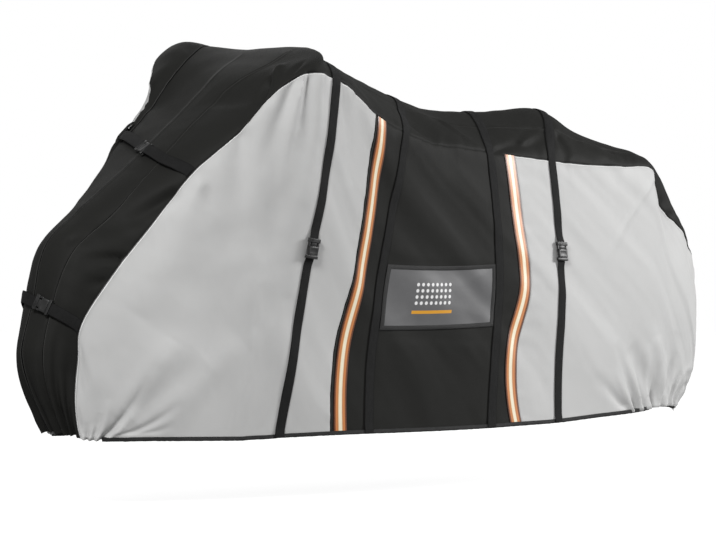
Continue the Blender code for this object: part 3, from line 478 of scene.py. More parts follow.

# %% Creases, listed one by one: from u, w to u, w on the near side | width | height
CREASES = (
    # name            u      w       u      w      width   height
    ("gather 1",      0.010, -1.000, 0.045, -0.720, 0.006,  0.0038),
    ("gather 2",      0.035, -1.000, 0.085, -0.800, 0.006, -0.0032),
    ("gather 3",      0.060, -1.000, 0.110, -0.860, 0.006,  0.0035),
    ("gather 4",      0.085, -1.000, 0.150, -0.820, 0.007, -0.0040),
    ("gather 5",      0.105, -1.000, 0.200, -0.780, 0.009,  0.0045),
    ("first pull",    0.122, -1.000, 0.340, -0.740, 0.010, -0.0080),
    ("gather 7",      0.136, -1.000, 0.260, -0.860, 0.009,  0.0050),
    ("second pull",   0.148, -1.000, 0.400, -0.885, 0.008, -0.0066),
    ("gather 9",      0.160, -1.000, 0.300, -0.930, 0.008,  0.0040),
    ("third pull",    0.172, -1.000, 0.364, -0.950, 0.006, -0.0036),
    ("gather 11",     0.190, -1.000, 0.290, -0.975, 0.006,  0.0020),
    ("rear 1",        1.878, -1.000, 1.746, -0.900, 0.012, -0.0050),
    ("rear 2",        1.897, -1.000, 1.815, -0.890, 0.010,  0.0045),
    ("rear 3",        1.915, -1.000, 1.830, -0.830, 0.012, -0.0065),
    ("rear 4",        1.935, -1.000, 1.880, -0.860, 0.010,  0.0050),
    ("rear 5",        1.955, -1.000, 1.919, -0.880, 0.010, -0.0055),
    ("rear 6",        1.977, -1.000, 1.955, -0.840, 0.010,  0.0055),
    ("rear 7",        2.000, -1.000, 2.005, -0.880, 0.009, -0.0055),
    ("rear 8",        2.022, -1.000, 2.060, -0.850, 0.010,  0.0055),
    ("rear 9",        2.045, -1.000, 2.155, -0.821, 0.010, -0.0065),
    ("rear 10",       2.070, -1.000, 2.180, -0.880, 0.009,  0.0050),
    ("rear 11",       2.100, -1.000, 2.300, -0.800, 0.009, -0.0045),
    ("rear 12",       2.140, -1.000, 2.360, -0.700, 0.009,  0.0045),
    ("rear 13",       2.200, -1.000, 2.420, -0.750, 0.008, -0.0035),
    ("nose 1",        0.000, -0.040, 0.150, -0.020, 0.008, -0.0040),
    ("nose 2",        0.000, -0.090, 0.110, -0.100, 0.008,  0.0045),
    ("nose 3",        0.000, -0.135, 0.170, -0.140, 0.007, -0.0050),
    ("nose 4",        0.000, -0.180, 0.120, -0.200, 0.008,  0.0050),
    ("nose 5",        0.000, -0.225, 0.190, -0.250, 0.008, -0.0055),
    ("nose 6",        0.000, -0.270, 0.100, -0.290, 0.007,  0.0045),
    ("nose 7",        0.000, -0.315, 0.130, -0.340, 0.007, -0.0045),
    ("nose 8",        0.000, -0.360, 0.060, -0.380, 0.006,  0.0035),
    ("tail 1",        2.488, -0.050, 2.380, -0.040, 0.006, -0.0030),
    ("tail 2",        2.488, -0.140, 2.400, -0.130, 0.006,  0.0030),
    ("tail 3",        2.488, -0.240, 2.390, -0.260, 0.006, -0.0035),
    ("tail 4",        2.488, -0.340, 2.420, -0.360, 0.006,  0.0030),
    ("nose diagonal", 0.498, -0.400, 0.370, -0.190, 0.024, -0.0095),
    ("nose dent",     0.320, -0.094, 0.355, -0.150, 0.014, -0.0040),
    ("nose level",    0.350, -0.390, 0.305, -0.200, 0.012, -0.0065),
    ("nose low",      0.295, -0.385, 0.268, -0.290, 0.011, -0.0040),
    ("crown end 1",   0.745, -0.265, 0.690, -0.390, 0.013, -0.0115),
    ("crown end 2",   0.770, -0.225, 0.729, -0.350, 0.011,  0.0065),
    ("crown end 3",   0.790, -0.300, 0.770, -0.385, 0.010, -0.0040),
    ("crown drop 1",  0.792, -0.405, 0.700, -0.530, 0.018, -0.0065),
    ("crown drop 2",  0.806, -0.405, 0.745, -0.610, 0.016,  0.0050),
    ("crown drop 3",  0.820, -0.405, 0.800, -0.600, 0.018, -0.0050),
    ("crown drop 4",  0.845, -0.405, 0.850, -0.620, 0.016,  0.0040),
    ("crown drop 5",  0.905, -0.405, 0.960, -0.560, 0.018, -0.0040),
    ("light band",    0.555, -0.440, 0.460, -0.520, 0.030,  0.0050),
    ("broad upright", 0.666, -0.419, 0.610, -0.640, 0.035, -0.0050),
    ("rear slant",    1.990, -0.420, 1.800, -0.640, 0.007,  0.0022),
    ("yoke ridge",    1.245, -0.130, 1.404, -0.390, 0.012,  0.0045),
    ("yoke trough",   1.106, -0.240, 1.248, -0.370, 0.018, -0.0050),
    ("yoke rise",     1.533, -0.330, 1.626, -0.150, 0.012,  0.0050),
    ("yoke drop",     1.648, -0.144, 1.710, -0.360, 0.014, -0.0060),
    ("yoke level",    1.444, -0.394, 1.617, -0.237, 0.015, -0.0045),
    ("yoke back",     1.800, -0.120, 1.960, -0.300, 0.014, -0.0035),
)


# %% Lay each crease on the drape, the far side a little differently
def starts_inside(u0, w0):
    """Whether a crease starts in the open cloth, and not at a seam or the hem."""
    return abs(w0) < W_SEAM - 0.015 and 0.001 < u0 < LENGTH - 0.001


def crease_height(u0, w0, u1, w1, width, height):
    """A crease that starts narrow and high, and widens and fades as it runs out."""
    t = np.linspace(0, 1, 14)
    line = sample(SURFACE, u0 + (u1 - u0) * t, w0 + (w1 - w0) * t)
    reach = 4 * width
    low, high = line.min(axis=0) - reach, line.max(axis=0) + reach
    rows, columns = np.nonzero(np.all((SURFACE > low) & (SURFACE < high), axis=2))
    points = SURFACE[rows, columns]
    nearest = np.full(len(points), np.inf)
    place = np.zeros(len(points))
    for k in range(len(line) - 1):
        run = line[k + 1] - line[k]
        part = np.clip((points - line[k]) @ run / (run @ run), 0, 1)
        distance = np.linalg.norm(points - line[k] - part[:, None] * run, axis=1)
        closer = distance < nearest
        nearest[closer] = distance[closer]
        place[closer] = t[k] + (t[k + 1] - t[k]) * part[closer]
    lifted = np.zeros(SURFACE.shape[:2])
    broad = width * (0.5 + 0.9 * place)
    profile = (1 - place)**0.8
    if starts_inside(u0, w0):
        profile = 1.3 * profile * ease(0.0, 0.3, place)
    lifted[rows, columns] = height * profile * np.exp(-(nearest / broad)**2)
    return lifted


CRISP = np.zeros(SURFACE.shape[:2])
NEAR_ONLY = ("crown end 1", "crown end 2", "crown end 3")    # the far end of the crown has none of these
FOLD_DEPTH = 1.7          # all the creases together, against the heights in the table
far_side = np.random.default_rng(11)
for name, u0, w0, u1, w1, width, height in CREASES:
    height *= FOLD_DEPTH
    CRISP += crease_height(u0, w0, u1, w1, width, height)
    shift = far_side.uniform(-0.012, 0.012)
    drift = far_side.uniform(-0.03, 0.03)
    size = far_side.uniform(0.7, 1.15)
    if name in NEAR_ONLY:
        continue
    u0_far = u0 + shift * (0 < u0 < LENGTH - 0.01)
    CRISP += crease_height(u0_far, -w0, u1 + 2 * shift, -w1 + drift * (w1 > -0.9), width, height * size)
CRISP += 0.0005 * noise(FROM_NOSE / 0.025, FROM_SPINE / 0.05, 5)
print("creases laid:", 2 * len(CREASES) - len(NEAR_ONLY))


# %% [markdown]
# ### Seams, straps and the hem
#
# A seam draws the cloth in by about a millimetre, in a narrow groove, and the thread puckers it on both
# sides. Under a strap the cloth is pressed flat. At the two ends of the hem the elastic gathers it into tight
# scallops that spread and fade as they rise. All of this depends on one thing, the real distance to the
# nearest seam, strap or hem, so that distance is worked out once for the whole sheet.

# %% Distances to the seams and straps
STRAP_WIDTH = 0.023
CROSS_STRAP_WIDTH = 0.025
TAPE_WIDTH = 0.030
TAPE_DARK_EDGE = 0.0018    # a dark band along each side of it
FRONT_TAPE_INSET = 0.012  # from the panel's seam to the tape
REAR_TAPE_INSET = 0.003
STRAPS = ("first strap", "second strap", "third strap", "fourth strap")
CROSS_STRAPS = ("lower cross strap", "upper cross strap")
ON_WALL = np.abs(W_GRID) >= W_SEAM


def from_rib(name, offset=0.0):
    """Real distance of every point from a rib of the pattern."""
    return (U_GRID - station(name)) * ALONG_SCALE - offset


def from_line(w_line):
    """Real distance of every point from a line at one w."""
    column = round((w_line + 1) * RIB_STEPS)
    return FROM_SPINE - FROM_SPINE[:, column:column + 1]


HEM_DISTANCE = np.minimum(np.abs(from_line(-1.0)), np.abs(from_line(1.0)))
LONG_SEAMS = [np.abs(from_line(w)) for w in (-W_SEAM, W_SEAM)]
STRIP_SEAMS = [np.abs(from_line(w)) for w in (-W_STRIP, W_STRIP)]
CROSS_SEAMS = [np.where(ON_WALL, np.abs(from_rib(name)), 1.0)
               for name in ("front panel edge", "rear panel edge")]
print("seams followed:", len(LONG_SEAMS + STRIP_SEAMS + CROSS_SEAMS))


# %% Grooves and puckers
def along_line(w_line):
    """Real distance along a line at one w, for every row of the sheet."""
    column = round((w_line + 1) * RIB_STEPS)
    return FROM_NOSE[:, column:column + 1]


def puckers(distance, along, strength, seed):
    """Short wrinkles that start at a seam and fade away from it, some longer than others."""
    reach = 0.012 + 0.010 * (noise(along / 0.021, 0.0, seed) + 1)
    fine = noise(along / 0.0085, distance / 0.05, seed + 1) * np.exp(-distance / reach)
    broad = noise(along / 0.022, distance / 0.09, seed + 2) * np.exp(-distance / (2.4 * reach))
    return strength * (0.0008 * fine + 0.0014 * broad)


GROOVE_DEPTH, GROOVE_WIDTH = 0.0012, 0.0024
GROOVES = np.zeros(SURFACE.shape[:2])
for distance in LONG_SEAMS + STRIP_SEAMS + CROSS_SEAMS:
    GROOVES = np.minimum(GROOVES, -GROOVE_DEPTH * np.exp(-(distance / GROOVE_WIDTH)**2))
PUCKERED_SEAMS = (
    # seams       run along them                   strength  first seed  where
    (LONG_SEAMS,  map(along_line, (-W_SEAM, W_SEAM)),   1.30, 20, 1),
    (STRIP_SEAMS, map(along_line, (-W_STRIP, W_STRIP)), 0.45, 30, 1),
    (CROSS_SEAMS, (FROM_SPINE, FROM_SPINE),             0.55, 40, ON_WALL),
)
PUCKERS = np.zeros(SURFACE.shape[:2])
for seams, runs, strength, first_seed, where in PUCKERED_SEAMS:
    for k, (distance, run) in enumerate(zip(seams, runs)):
        PUCKERS += puckers(distance, run, strength, first_seed + 4 * k) * where
print("deepest pucker:", (PUCKERS.min() * 1000).round(2), "mm")

# %% The gathered ends of the hem
ELASTIC_FRONT_U = 0.165   # the elastic runs from the nose to here
ELASTIC_REAR_U = 1.88     # and from here to the tail
ELASTIC_FADE = 0.05
ELASTIC = np.maximum(1 - ease(ELASTIC_FRONT_U - ELASTIC_FADE, ELASTIC_FRONT_U + ELASTIC_FADE, U_GRID),
                     ease(ELASTIC_REAR_U - ELASTIC_FADE, ELASTIC_REAR_U + ELASTIC_FADE, U_GRID))
HEM_RUN = np.where(W_GRID < 0, along_line(-1.0), along_line(1.0) + 0.5)
GATHER_WAVES = (
    # height  pitch  fades over  seed  where
    (0.0030, 0.0052, 0.014,      50,   ELASTIC),
    (0.0030, 0.0110, 0.035,      51,   ELASTIC),
    (0.0020, 0.0240, 0.080,      52,   ELASTIC),
    (0.0012, 0.0450, 0.050,      53,   1 - ELASTIC),
)
GATHERS = sum(where * height * noise(HEM_RUN / pitch, 0.5, seed) * np.exp(-HEM_DISTANCE / fade)
              for height, pitch, fade, seed, where in GATHER_WAVES)
CASING = ELASTIC * 0.0022 * np.exp(-((HEM_DISTANCE - 0.006) / 0.005)**2)
print("elastic share of the hem:", round(float(ELASTIC[:, 0].mean()), 2))

# %% Where the straps, tape and pocket press the cloth flat
POCKET_TOP, POCKET_BOTTOM = 0.444, 0.664      # shares of the way down the wall
TAPE_LINES = (("front", "front panel edge", FRONT_TAPE_INSET + TAPE_WIDTH / 2),
              ("rear", "rear panel edge", -REAR_TAPE_INSET - TAPE_WIDTH / 2))


def under(line, full, gone):
    """1 under a strap or tape, and 0 where it no longer presses, from the distance to its middle."""
    return 1 - ease(full, gone, np.abs(line))


over_front = 1 - ease(0.36, 0.39, np.abs(W_GRID))
presses = [under(from_rib(name), 0.011, 0.026) for name in STRAPS]
presses += [under(from_rib(name), 0.012, 0.024) * over_front for name in CROSS_STRAPS]
presses += [under(from_rib(name, inset), 0.015, 0.024) * ON_WALL for _, name, inset in TAPE_LINES]
wall_share = (-W_GRID - W_SEAM) / (1 - W_SEAM)
in_pocket_rows = ease(0.40, 0.43, wall_share) * (1 - ease(0.68, 0.71, wall_share))
in_pocket_columns = (from_rib("second strap") > 0) & (from_rib("third strap") < 0)
presses.append(in_pocket_rows * in_pocket_columns)
PRESSED = np.maximum.reduce(presses)
HEM_BOUND = under(HEM_DISTANCE, 0.010, 0.018) * (1 - ELASTIC)
FREE = (1 - PRESSED) * (1 - HEM_BOUND)
print("share of the cloth pressed flat:", round(float(PRESSED.mean()), 3))

# %% All of it together: how far the cloth stands off the plain drape
CLOTH_HEIGHT = BILLOW + CRISP * FREE + GROOVES + PUCKERS * FREE + GATHERS + CASING
CLOTH_HEIGHT -= 0.0006 * PRESSED
print("cloth height in millimetres:", (np.array([CLOTH_HEIGHT.min(), CLOTH_HEIGHT.max()]) * 1000).round(1))

# %% [markdown]
# ## Making a sheet
#
# A sheet starts as a flat grid primitive with as many cells as the piece needs. Its vertices are then laid on
# the drape, at the cloth's height. The rows and columns are closer together beside a seam, because that is
# where the shape changes fastest. Solidify gives the cloth its thickness, towards the inside. The flat grid
# also gets a UV map in real metres, so that the weave has one scale on every piece.

# %% Helpers for grids
FINE = (0, 0.0012, 0.0026, 0.0045, 0.0070, 0.0105)     # distances of the closest rows from a seam


def graded(length, step, fine_start, fine_end):
    """Shares from 0 to 1 with the given step in metres, and finer rows at the ends where asked."""
    start = [d / length for d in FINE] if fine_start else [0.0]
    end = [1 - d / length for d in FINE][::-1] if fine_end else [1.0]
    room = (end[0] - start[-1]) * length
    count = max(int(round(room / step)), 1)
    middle = np.linspace(start[-1], end[0], count + 1)[1:-1]
    return np.concatenate([start, middle, end])


def set_uv(mesh, u_metres, v_metres, flat_index):
    layer = mesh.uv_layers[0] if mesh.uv_layers else mesh.uv_layers.new(name="UVMap")
    corner_vertex = np.empty(len(mesh.loops), dtype=np.int32)
    mesh.loops.foreach_get("vertex_index", corner_vertex)
    pick = flat_index[corner_vertex]
    uv = np.stack([u_metres.ravel()[pick], v_metres.ravel()[pick]], axis=1)
    layer.uv.foreach_set("vector", uv.astype(np.float32).ravel())


def add_field(mesh, name, values, flat_index):
    """A named number on each vertex, for a material to read."""
    field = mesh.attributes.new(name, "FLOAT", "POINT")
    field.data.foreach_set("value", values.ravel()[flat_index].astype(np.float32))


def apply_modifier(piece, modifier):
    bpy.context.view_layer.objects.active = piece
    bpy.ops.object.modifier_apply(modifier=modifier.name)


def smooth(piece, degrees=50):
    bpy.ops.object.select_all(action="DESELECT")
    piece.select_set(True)
    bpy.context.view_layer.objects.active = piece
    bpy.ops.object.shade_smooth_by_angle(angle=math.radians(degrees))
    piece.select_set(False)


# %% A grid primitive laid on given points
def lay_grid(name, place, thickness, uv, fields=(), even=False):
    """place is the outer face, columns by rows by 3. The thickness goes inward."""
    columns, rows = place.shape[:2]
    bpy.ops.object.select_all(action="DESELECT")
    bpy.ops.mesh.primitive_grid_add(x_subdivisions=columns - 1, y_subdivisions=rows - 1, size=2)
    piece = bpy.context.object
    piece.name = name
    mesh = piece.data
    mesh.name = name
    flat = np.empty(len(mesh.vertices) * 3)
    mesh.vertices.foreach_get("co", flat)
    flat = flat.reshape(-1, 3)
    i = np.rint((flat[:, 0] + 1) / 2 * (columns - 1)).astype(int)
    j = np.rint((flat[:, 1] + 1) / 2 * (rows - 1)).astype(int)
    flat_index = i * rows + j
    mesh.vertices.foreach_set("co", (place - ORIGIN)[i, j].ravel())
    set_uv(mesh, *uv, flat_index)
    for field_name, values in fields:
        add_field(mesh, field_name, values, flat_index)
    solid = piece.modifiers.new("thickness", "SOLIDIFY")
    solid.thickness = thickness
    solid.offset = -1
    solid.use_even_offset = even
    apply_modifier(piece, solid)
    smooth(piece)
    mesh.update()
    return piece


def on_drape(u, w, height):
    height = np.broadcast_to(height, np.broadcast(u, w).shape)
    return sample(SURFACE, u, w) + unit(sample(NORMALS, u, w)) * height[..., None]


# %% [markdown]
# ## Materials
#
# Coated polyester is a plain weave, one thread over and one under, with a satin sheen from its coating. Two
# crossed sine waves make that weave, at the thread's real pitch, and feed the bump. The colour drifts very
# slightly over the cloth, as dyed cloth does. The material draws the seams too. Each sheet carries its
# distance to the nearest seam, so painted shade makes the groove a dark line, a painted highlight makes the
# folded edge beside it a pale one, and a stitch is simply a dash where that distance is right.

# %% Small helpers for node trees
class Nodes:
    """A thin wrapper that adds nodes and links by name."""

    def __init__(self, name, colour, roughness, metallic=0.0):
        self.material = bpy.data.materials.new(name)
        self.material.use_nodes = True
        self.tree = self.material.node_tree
        self.shader = self.tree.nodes["Principled BSDF"]
        self.shader.inputs["Base Color"].default_value = (*colour, 1)
        self.shader.inputs["Roughness"].default_value = roughness
        self.shader.inputs["Metallic"].default_value = metallic
        self.material.diffuse_color = (*colour, 1)

    def add(self, kind, **settings):
        node = self.tree.nodes.new(kind)
        for key, value in settings.items():
            setattr(node, key, value)
        return node

    def link(self, source, target):
        self.tree.links.new(source, target)

    def math(self, operation, first, second=None, third=None):
        node = self.add("ShaderNodeMath", operation=operation)
        for socket, value in zip(node.inputs, (first, second, third)):
            if value is None:
                continue
            if isinstance(value, (int, float)):
                socket.default_value = value
            else:
                self.link(value, socket)
        return node.outputs[0]

    def uv(self):
        split = self.add("ShaderNodeSeparateXYZ")
        self.link(self.add("ShaderNodeUVMap", uv_map="UVMap").outputs[0], split.inputs[0])
        return split.outputs[0], split.outputs[1]

    def field(self, name):
        return self.add("ShaderNodeAttribute", attribute_name=name).outputs["Fac"]

    def noise(self, scale, detail=2.0, stretch=(1, 1, 1)):
        """Noise over the object's own place, in metres."""
        mapping = self.add("ShaderNodeMapping")
        mapping.inputs["Scale"].default_value = stretch
        self.link(self.add("ShaderNodeTexCoord").outputs["Object"], mapping.inputs["Vector"])
        texture = self.add("ShaderNodeTexNoise")
        texture.inputs["Scale"].default_value = scale
        texture.inputs["Detail"].default_value = detail
        self.link(mapping.outputs[0], texture.inputs["Vector"])
        return texture.outputs["Fac"]

    def mix(self, factor, first, second):
        node = self.add("ShaderNodeMix", data_type="RGBA")
        for socket, value in ((node.inputs["Factor"], factor), (node.inputs["A"], first),
                              (node.inputs["B"], second)):
            if isinstance(value, tuple):
                socket.default_value = (*value, 1)
            elif isinstance(value, (int, float)):
                socket.default_value = value
            else:
                self.link(value, socket)
        return node.outputs["Result"]

    def bump(self, height, distance, strength=1.0):
        node = self.add("ShaderNodeBump")
        node.inputs["Distance"].default_value = distance
        node.inputs["Strength"].default_value = strength
        self.link(height, node.inputs["Height"])
        self.link(node.outputs[0], self.shader.inputs["Normal"])

    def set(self, **values):
        for key, value in values.items():
            self.shader.inputs[key.replace("_", " ")].default_value = value


TURN = 2 * math.pi


def between(nodes, value, low, high):
    """1 where a value lies between two limits."""
    above = nodes.math("GREATER_THAN", value, low)
    return nodes.math("MULTIPLY", above, nodes.math("LESS_THAN", value, high))


print("helpers for materials are ready")

# %% Coated cloth with its stitched seams
THREAD_PITCH = 0.0009     # one over and one under
STITCH_LENGTH = 0.0034
STITCH_DASH = 0.68        # the share of each stitch that shows
STITCH_ROW = 0.0050       # the row of stitches lies this far from the seam
STITCH_WIDTH = 0.0007
GROOVE_SHADE_REACH, EDGE_HIGHLIGHT_REACH = 0.0020, 0.0035     # painted shade down the seam, and a painted highlight on the folded edge beside it


def dashes(nodes, along):
    """1 on a stitch and 0 in the gap after it, along a row of stitches."""
    beat = nodes.math("FRACT", nodes.math("DIVIDE", along, STITCH_LENGTH))
    return nodes.math("LESS_THAN", beat, STITCH_DASH)


def cloth_material(name, colour, thread, roughness, specular, drift, edge, groove_shade):
    """Four colours: the cloth, its thread, a painted highlight on the folded edge at a seam, and painted
    shade down the seam.
    """
    nodes = Nodes(name, colour, roughness)
    along, across = nodes.uv()
    warp = nodes.math("SINE", nodes.math("MULTIPLY", along, TURN / THREAD_PITCH))
    weft = nodes.math("SINE", nodes.math("MULTIPLY", across, TURN / THREAD_PITCH))
    weave = nodes.math("MULTIPLY", warp, weft)
    seam = nodes.field("seam_distance")
    row = between(nodes, seam, STITCH_ROW - STITCH_WIDTH / 2, STITCH_ROW + STITCH_WIDTH / 2)
    stitch = nodes.math("MULTIPLY", dashes(nodes, nodes.field("seam_along")), row)
    slow = nodes.noise(7.0, 3.0)
    quick = nodes.noise(55.0, 4.0)
    blend = nodes.math("ADD", nodes.math("MULTIPLY", slow, 0.7), nodes.math("MULTIPLY", quick, 0.3))
    darker = tuple(c * (1 - drift) for c in colour)
    lighter = tuple(min(c * (1 + drift), 1.0) for c in colour)
    ground = nodes.mix(blend, darker, lighter)
    ground = nodes.mix(nodes.math("MULTIPLY_ADD", weave, 0.05, 0.05), ground, lighter)
    # Painted highlight on the folded edge beside a seam, then painted shade down the seam itself.
    ground = nodes.mix(between(nodes, seam, GROOVE_SHADE_REACH, EDGE_HIGHLIGHT_REACH), ground, edge)
    ground = nodes.mix(nodes.math("LESS_THAN", seam, GROOVE_SHADE_REACH), ground, groove_shade)
    nodes.link(nodes.mix(stitch, ground, thread), nodes.shader.inputs["Base Color"])
    relief = nodes.math("MULTIPLY_ADD", weave, 0.10, nodes.math("MULTIPLY", stitch, 0.9))
    relief = nodes.math("ADD", relief, nodes.math("MULTIPLY", quick, 0.25))
    nodes.bump(relief, 0.0006, 0.6)
    nodes.set(Specular_IOR_Level=specular)
    return nodes.material


# In both cloths the edge colour is a painted highlight beside each seam, and the colour after it is painted
# shade down the seam.
black_cloth = cloth_material("black coated cloth", colour=(0.0180, 0.0180, 0.0168),
                             thread=(0.034, 0.034, 0.032), roughness=0.55, specular=0.07, drift=0.12,
                             edge=(0.052, 0.052, 0.050), groove_shade=(0.001, 0.001, 0.001))
grey_cloth = cloth_material("grey coated cloth", colour=(0.57, 0.57, 0.565),
                            thread=(0.46, 0.46, 0.45), roughness=0.55, specular=0.20, drift=0.03,
                            edge=(0.82, 0.82, 0.81), groove_shade=(0.10, 0.10, 0.10))
print("cloth materials:", black_cloth.name, grey_cloth.name)

# %% Webbing, binding and tape
def webbing_material(name, colour, rib_pitch, roughness):
    """UV: along the webbing in metres, and 0 to 1 across it."""
    nodes = Nodes(name, colour, roughness)
    along, across = nodes.uv()
    slope = nodes.math("PINGPONG", nodes.math("MULTIPLY", across, 4.0), 1.0)
    lean = nodes.math("MULTIPLY_ADD", slope, 0.9, nodes.math("DIVIDE", along, rib_pitch))
    ribs = nodes.math("SINE", nodes.math("MULTIPLY", lean, TURN))
    warps = nodes.math("SINE", nodes.math("MULTIPLY", across, TURN * 22))
    relief = nodes.math("ADD", nodes.math("MULTIPLY", ribs, 0.5), nodes.math("MULTIPLY", warps, 0.25))
    edge = nodes.math("ABSOLUTE", nodes.math("SUBTRACT", across, 0.5))
    # Darker along both edges of the webbing.
    dark_edges = nodes.math("GREATER_THAN", edge, 0.44)
    dark = tuple(c * 0.45 for c in colour)
    light = tuple(c * 1.5 for c in colour)
    ground = nodes.mix(nodes.noise(90.0, 3.0), tuple(c * 0.8 for c in colour), light)
    ground = nodes.mix(nodes.math("MULTIPLY", dark_edges, 0.8), ground, dark)
    nodes.link(ground, nodes.shader.inputs["Base Color"])
    nodes.bump(relief, 0.0004, 0.7)
    nodes.set(Specular_IOR_Level=0.12)
    return nodes.material


def binding_material():
    """Grosgrain: ribs across the tape, close together."""
    nodes = Nodes("black binding", (0.014, 0.014, 0.014), 0.7)
    along = nodes.uv()[0]
    ribs = nodes.math("SINE", nodes.math("MULTIPLY", along, TURN / 0.0012))
    ground = nodes.mix(nodes.noise(70.0, 3.0), (0.010, 0.010, 0.010), (0.022, 0.022, 0.022))
    nodes.link(ground, nodes.shader.inputs["Base Color"])
    nodes.bump(ribs, 0.0003, 0.6)
    return nodes.material


ORANGE, DEEP, CREAM = (0.66, 0.235, 0.070), (0.075, 0.018, 0.005), (1.0, 0.87, 0.60)
TAPE_BANDS = (
    # share of the width, colour
    (0.00, DEEP), (0.10, DEEP), (0.15, ORANGE), (0.29, ORANGE), (0.33, (0.62, 0.30, 0.10)),
    (0.36, CREAM), (0.49, (1.0, 0.95, 0.78)), (0.62, CREAM), (0.65, (0.50, 0.19, 0.06)),
    (0.70, ORANGE), (0.83, ORANGE), (0.89, DEEP), (1.00, DEEP),
)
TAPE_DIAMOND = 0.003      # pitch of the pressed diamonds in the pale band


def tape_material():
    """Orange tape with a pale reflective band, and a row of stitches down each edge."""
    nodes = Nodes("reflective tape", (0.8, 0.3, 0.08), 0.38)
    along, across = nodes.uv()
    ramp = nodes.add("ShaderNodeValToRGB")
    ramp.color_ramp.interpolation = "LINEAR"
    while len(ramp.color_ramp.elements) < len(TAPE_BANDS):
        ramp.color_ramp.elements.new(0.5)
    for element, (place, _) in zip(ramp.color_ramp.elements, TAPE_BANDS):
        element.position = place
    for element, (_, colour) in zip(ramp.color_ramp.elements, TAPE_BANDS):
        element.color = (*colour, 1)
    nodes.link(across, ramp.inputs[0])
    edge = nodes.math("ABSOLUTE", nodes.math("SUBTRACT", across, 0.5))
    stitch = nodes.math("MULTIPLY", dashes(nodes, along), between(nodes, edge, 0.405, 0.43))
    ground = nodes.mix(nodes.math("MULTIPLY", stitch, 0.7), ramp.outputs[0], (0.62, 0.16, 0.03))
    ground = nodes.mix(nodes.math("MULTIPLY", nodes.noise(60.0, 4.0), 0.16), ground, (0.35, 0.20, 0.12))
    nodes.link(ground, nodes.shader.inputs["Base Color"])
    sideways = nodes.math("MULTIPLY", across, TAPE_WIDTH)
    slants = [nodes.math("MULTIPLY", nodes.math(way, along, sideways), TURN / TAPE_DIAMOND)
              for way in ("ADD", "SUBTRACT")]
    diamond = nodes.math("MULTIPLY", *[nodes.math("SINE", slant) for slant in slants])
    in_band = nodes.math("MULTIPLY", diamond, between(nodes, across, 0.33, 0.63))
    relief = nodes.math("MULTIPLY_ADD", in_band, 0.3, nodes.math("MULTIPLY", stitch, 0.8))
    nodes.bump(relief, 0.0003, 0.5)
    return nodes.material


webbing = webbing_material("black webbing", (0.011, 0.011, 0.011), 0.0020, 0.62)
binding = binding_material()
tape = tape_material()
print("trim materials:", webbing.name, binding.name, tape.name)

# %% Film, print and moulded plastic
DOT_PITCH = 0.0135
DOT_FIELD = ((0.081, 0.189), (0.027, 0.081))          # along and across the window, in metres
RULE_FIELD = ((0.079, 0.191), (0.0905, 0.0975))


def inside(nodes, along, across, field):
    """1 inside an oblong of the window."""
    return nodes.math("MULTIPLY", between(nodes, along, *field[0]), between(nodes, across, *field[1]))


def squared_from_middle(nodes, value):
    """The squared distance from the middle of a dot's cell, counted in cells."""
    cell = nodes.math("FRACT", nodes.math("DIVIDE", value, DOT_PITCH))
    away = nodes.math("SUBTRACT", cell, 0.5)
    return nodes.math("MULTIPLY", away, away)


def film_material():
    """A smoky film over dark cloth, with a plain printed field of pale dots and an amber rule."""
    nodes = Nodes("smoky film", (0.115, 0.115, 0.118), 0.42)
    along, across = nodes.uv()
    ground = nodes.mix(nodes.noise(18.0, 3.0), (0.092, 0.092, 0.095), (0.135, 0.135, 0.138))
    away = nodes.math("ADD", squared_from_middle(nodes, along), squared_from_middle(nodes, across))
    dot = nodes.math("LESS_THAN", away, 0.085)
    dots = nodes.math("MULTIPLY", dot, inside(nodes, along, across, DOT_FIELD))
    rule = inside(nodes, along, across, RULE_FIELD)
    ground = nodes.mix(dots, ground, (0.80, 0.80, 0.80))
    ground = nodes.mix(rule, ground, (0.72, 0.33, 0.02))
    nodes.link(ground, nodes.shader.inputs["Base Color"])
    nodes.bump(nodes.noise(30.0, 3.0), 0.0015, 0.25)
    nodes.set(Specular_IOR_Level=0.30, Coat_Weight=0.15, Coat_Roughness=0.30)
    return nodes.material


def plastic_material():
    nodes = Nodes("moulded plastic", (0.017, 0.017, 0.017), 0.42)
    ground = nodes.mix(nodes.noise(40.0, 2.0), (0.014, 0.014, 0.014), (0.022, 0.022, 0.022))
    nodes.link(ground, nodes.shader.inputs["Base Color"])
    nodes.bump(nodes.noise(900.0, 2.0), 0.0002, 0.35)
    return nodes.material


film = film_material()
plastic = plastic_material()
print("hard finishes:", film.name, plastic.name)

# %% [markdown]
# ## The cloth pieces
#
# Nine cut pieces, each its own sheet. Each is laid between two lines along the cover (its rows) and two ribs
# (its columns). The three black pieces over the top are whole here, as they are cut, where the construction
# model has each of them in three stretches. A piece folds its edge over at the seam and is stitched down,
# which leaves a low ridge a few millimetres wide. That ridge catches the light, so it is modelled.

# %% Cut and lay one piece of cloth, and measure its cut size
CLOTH_SHOWN = 0.0012      # thickness of the visible cloth
STEP = 0.0062             # distance between rows and columns away from the seams
RIDGE_HEIGHT = 0.0007
CENTRE_SEAM_END = (0.78, 0.84)    # the seam down the middle of the nose runs out over these places
NO_SEAM = 0.05            # the distance that open cloth carries


def seam_ridge(distance):
    """The folded and stitched edge of a piece: up from the groove, level, and down again."""
    return RIDGE_HEIGHT * ease(0.0010, 0.0022, distance) * (1 - ease(0.0062, 0.0080, distance))


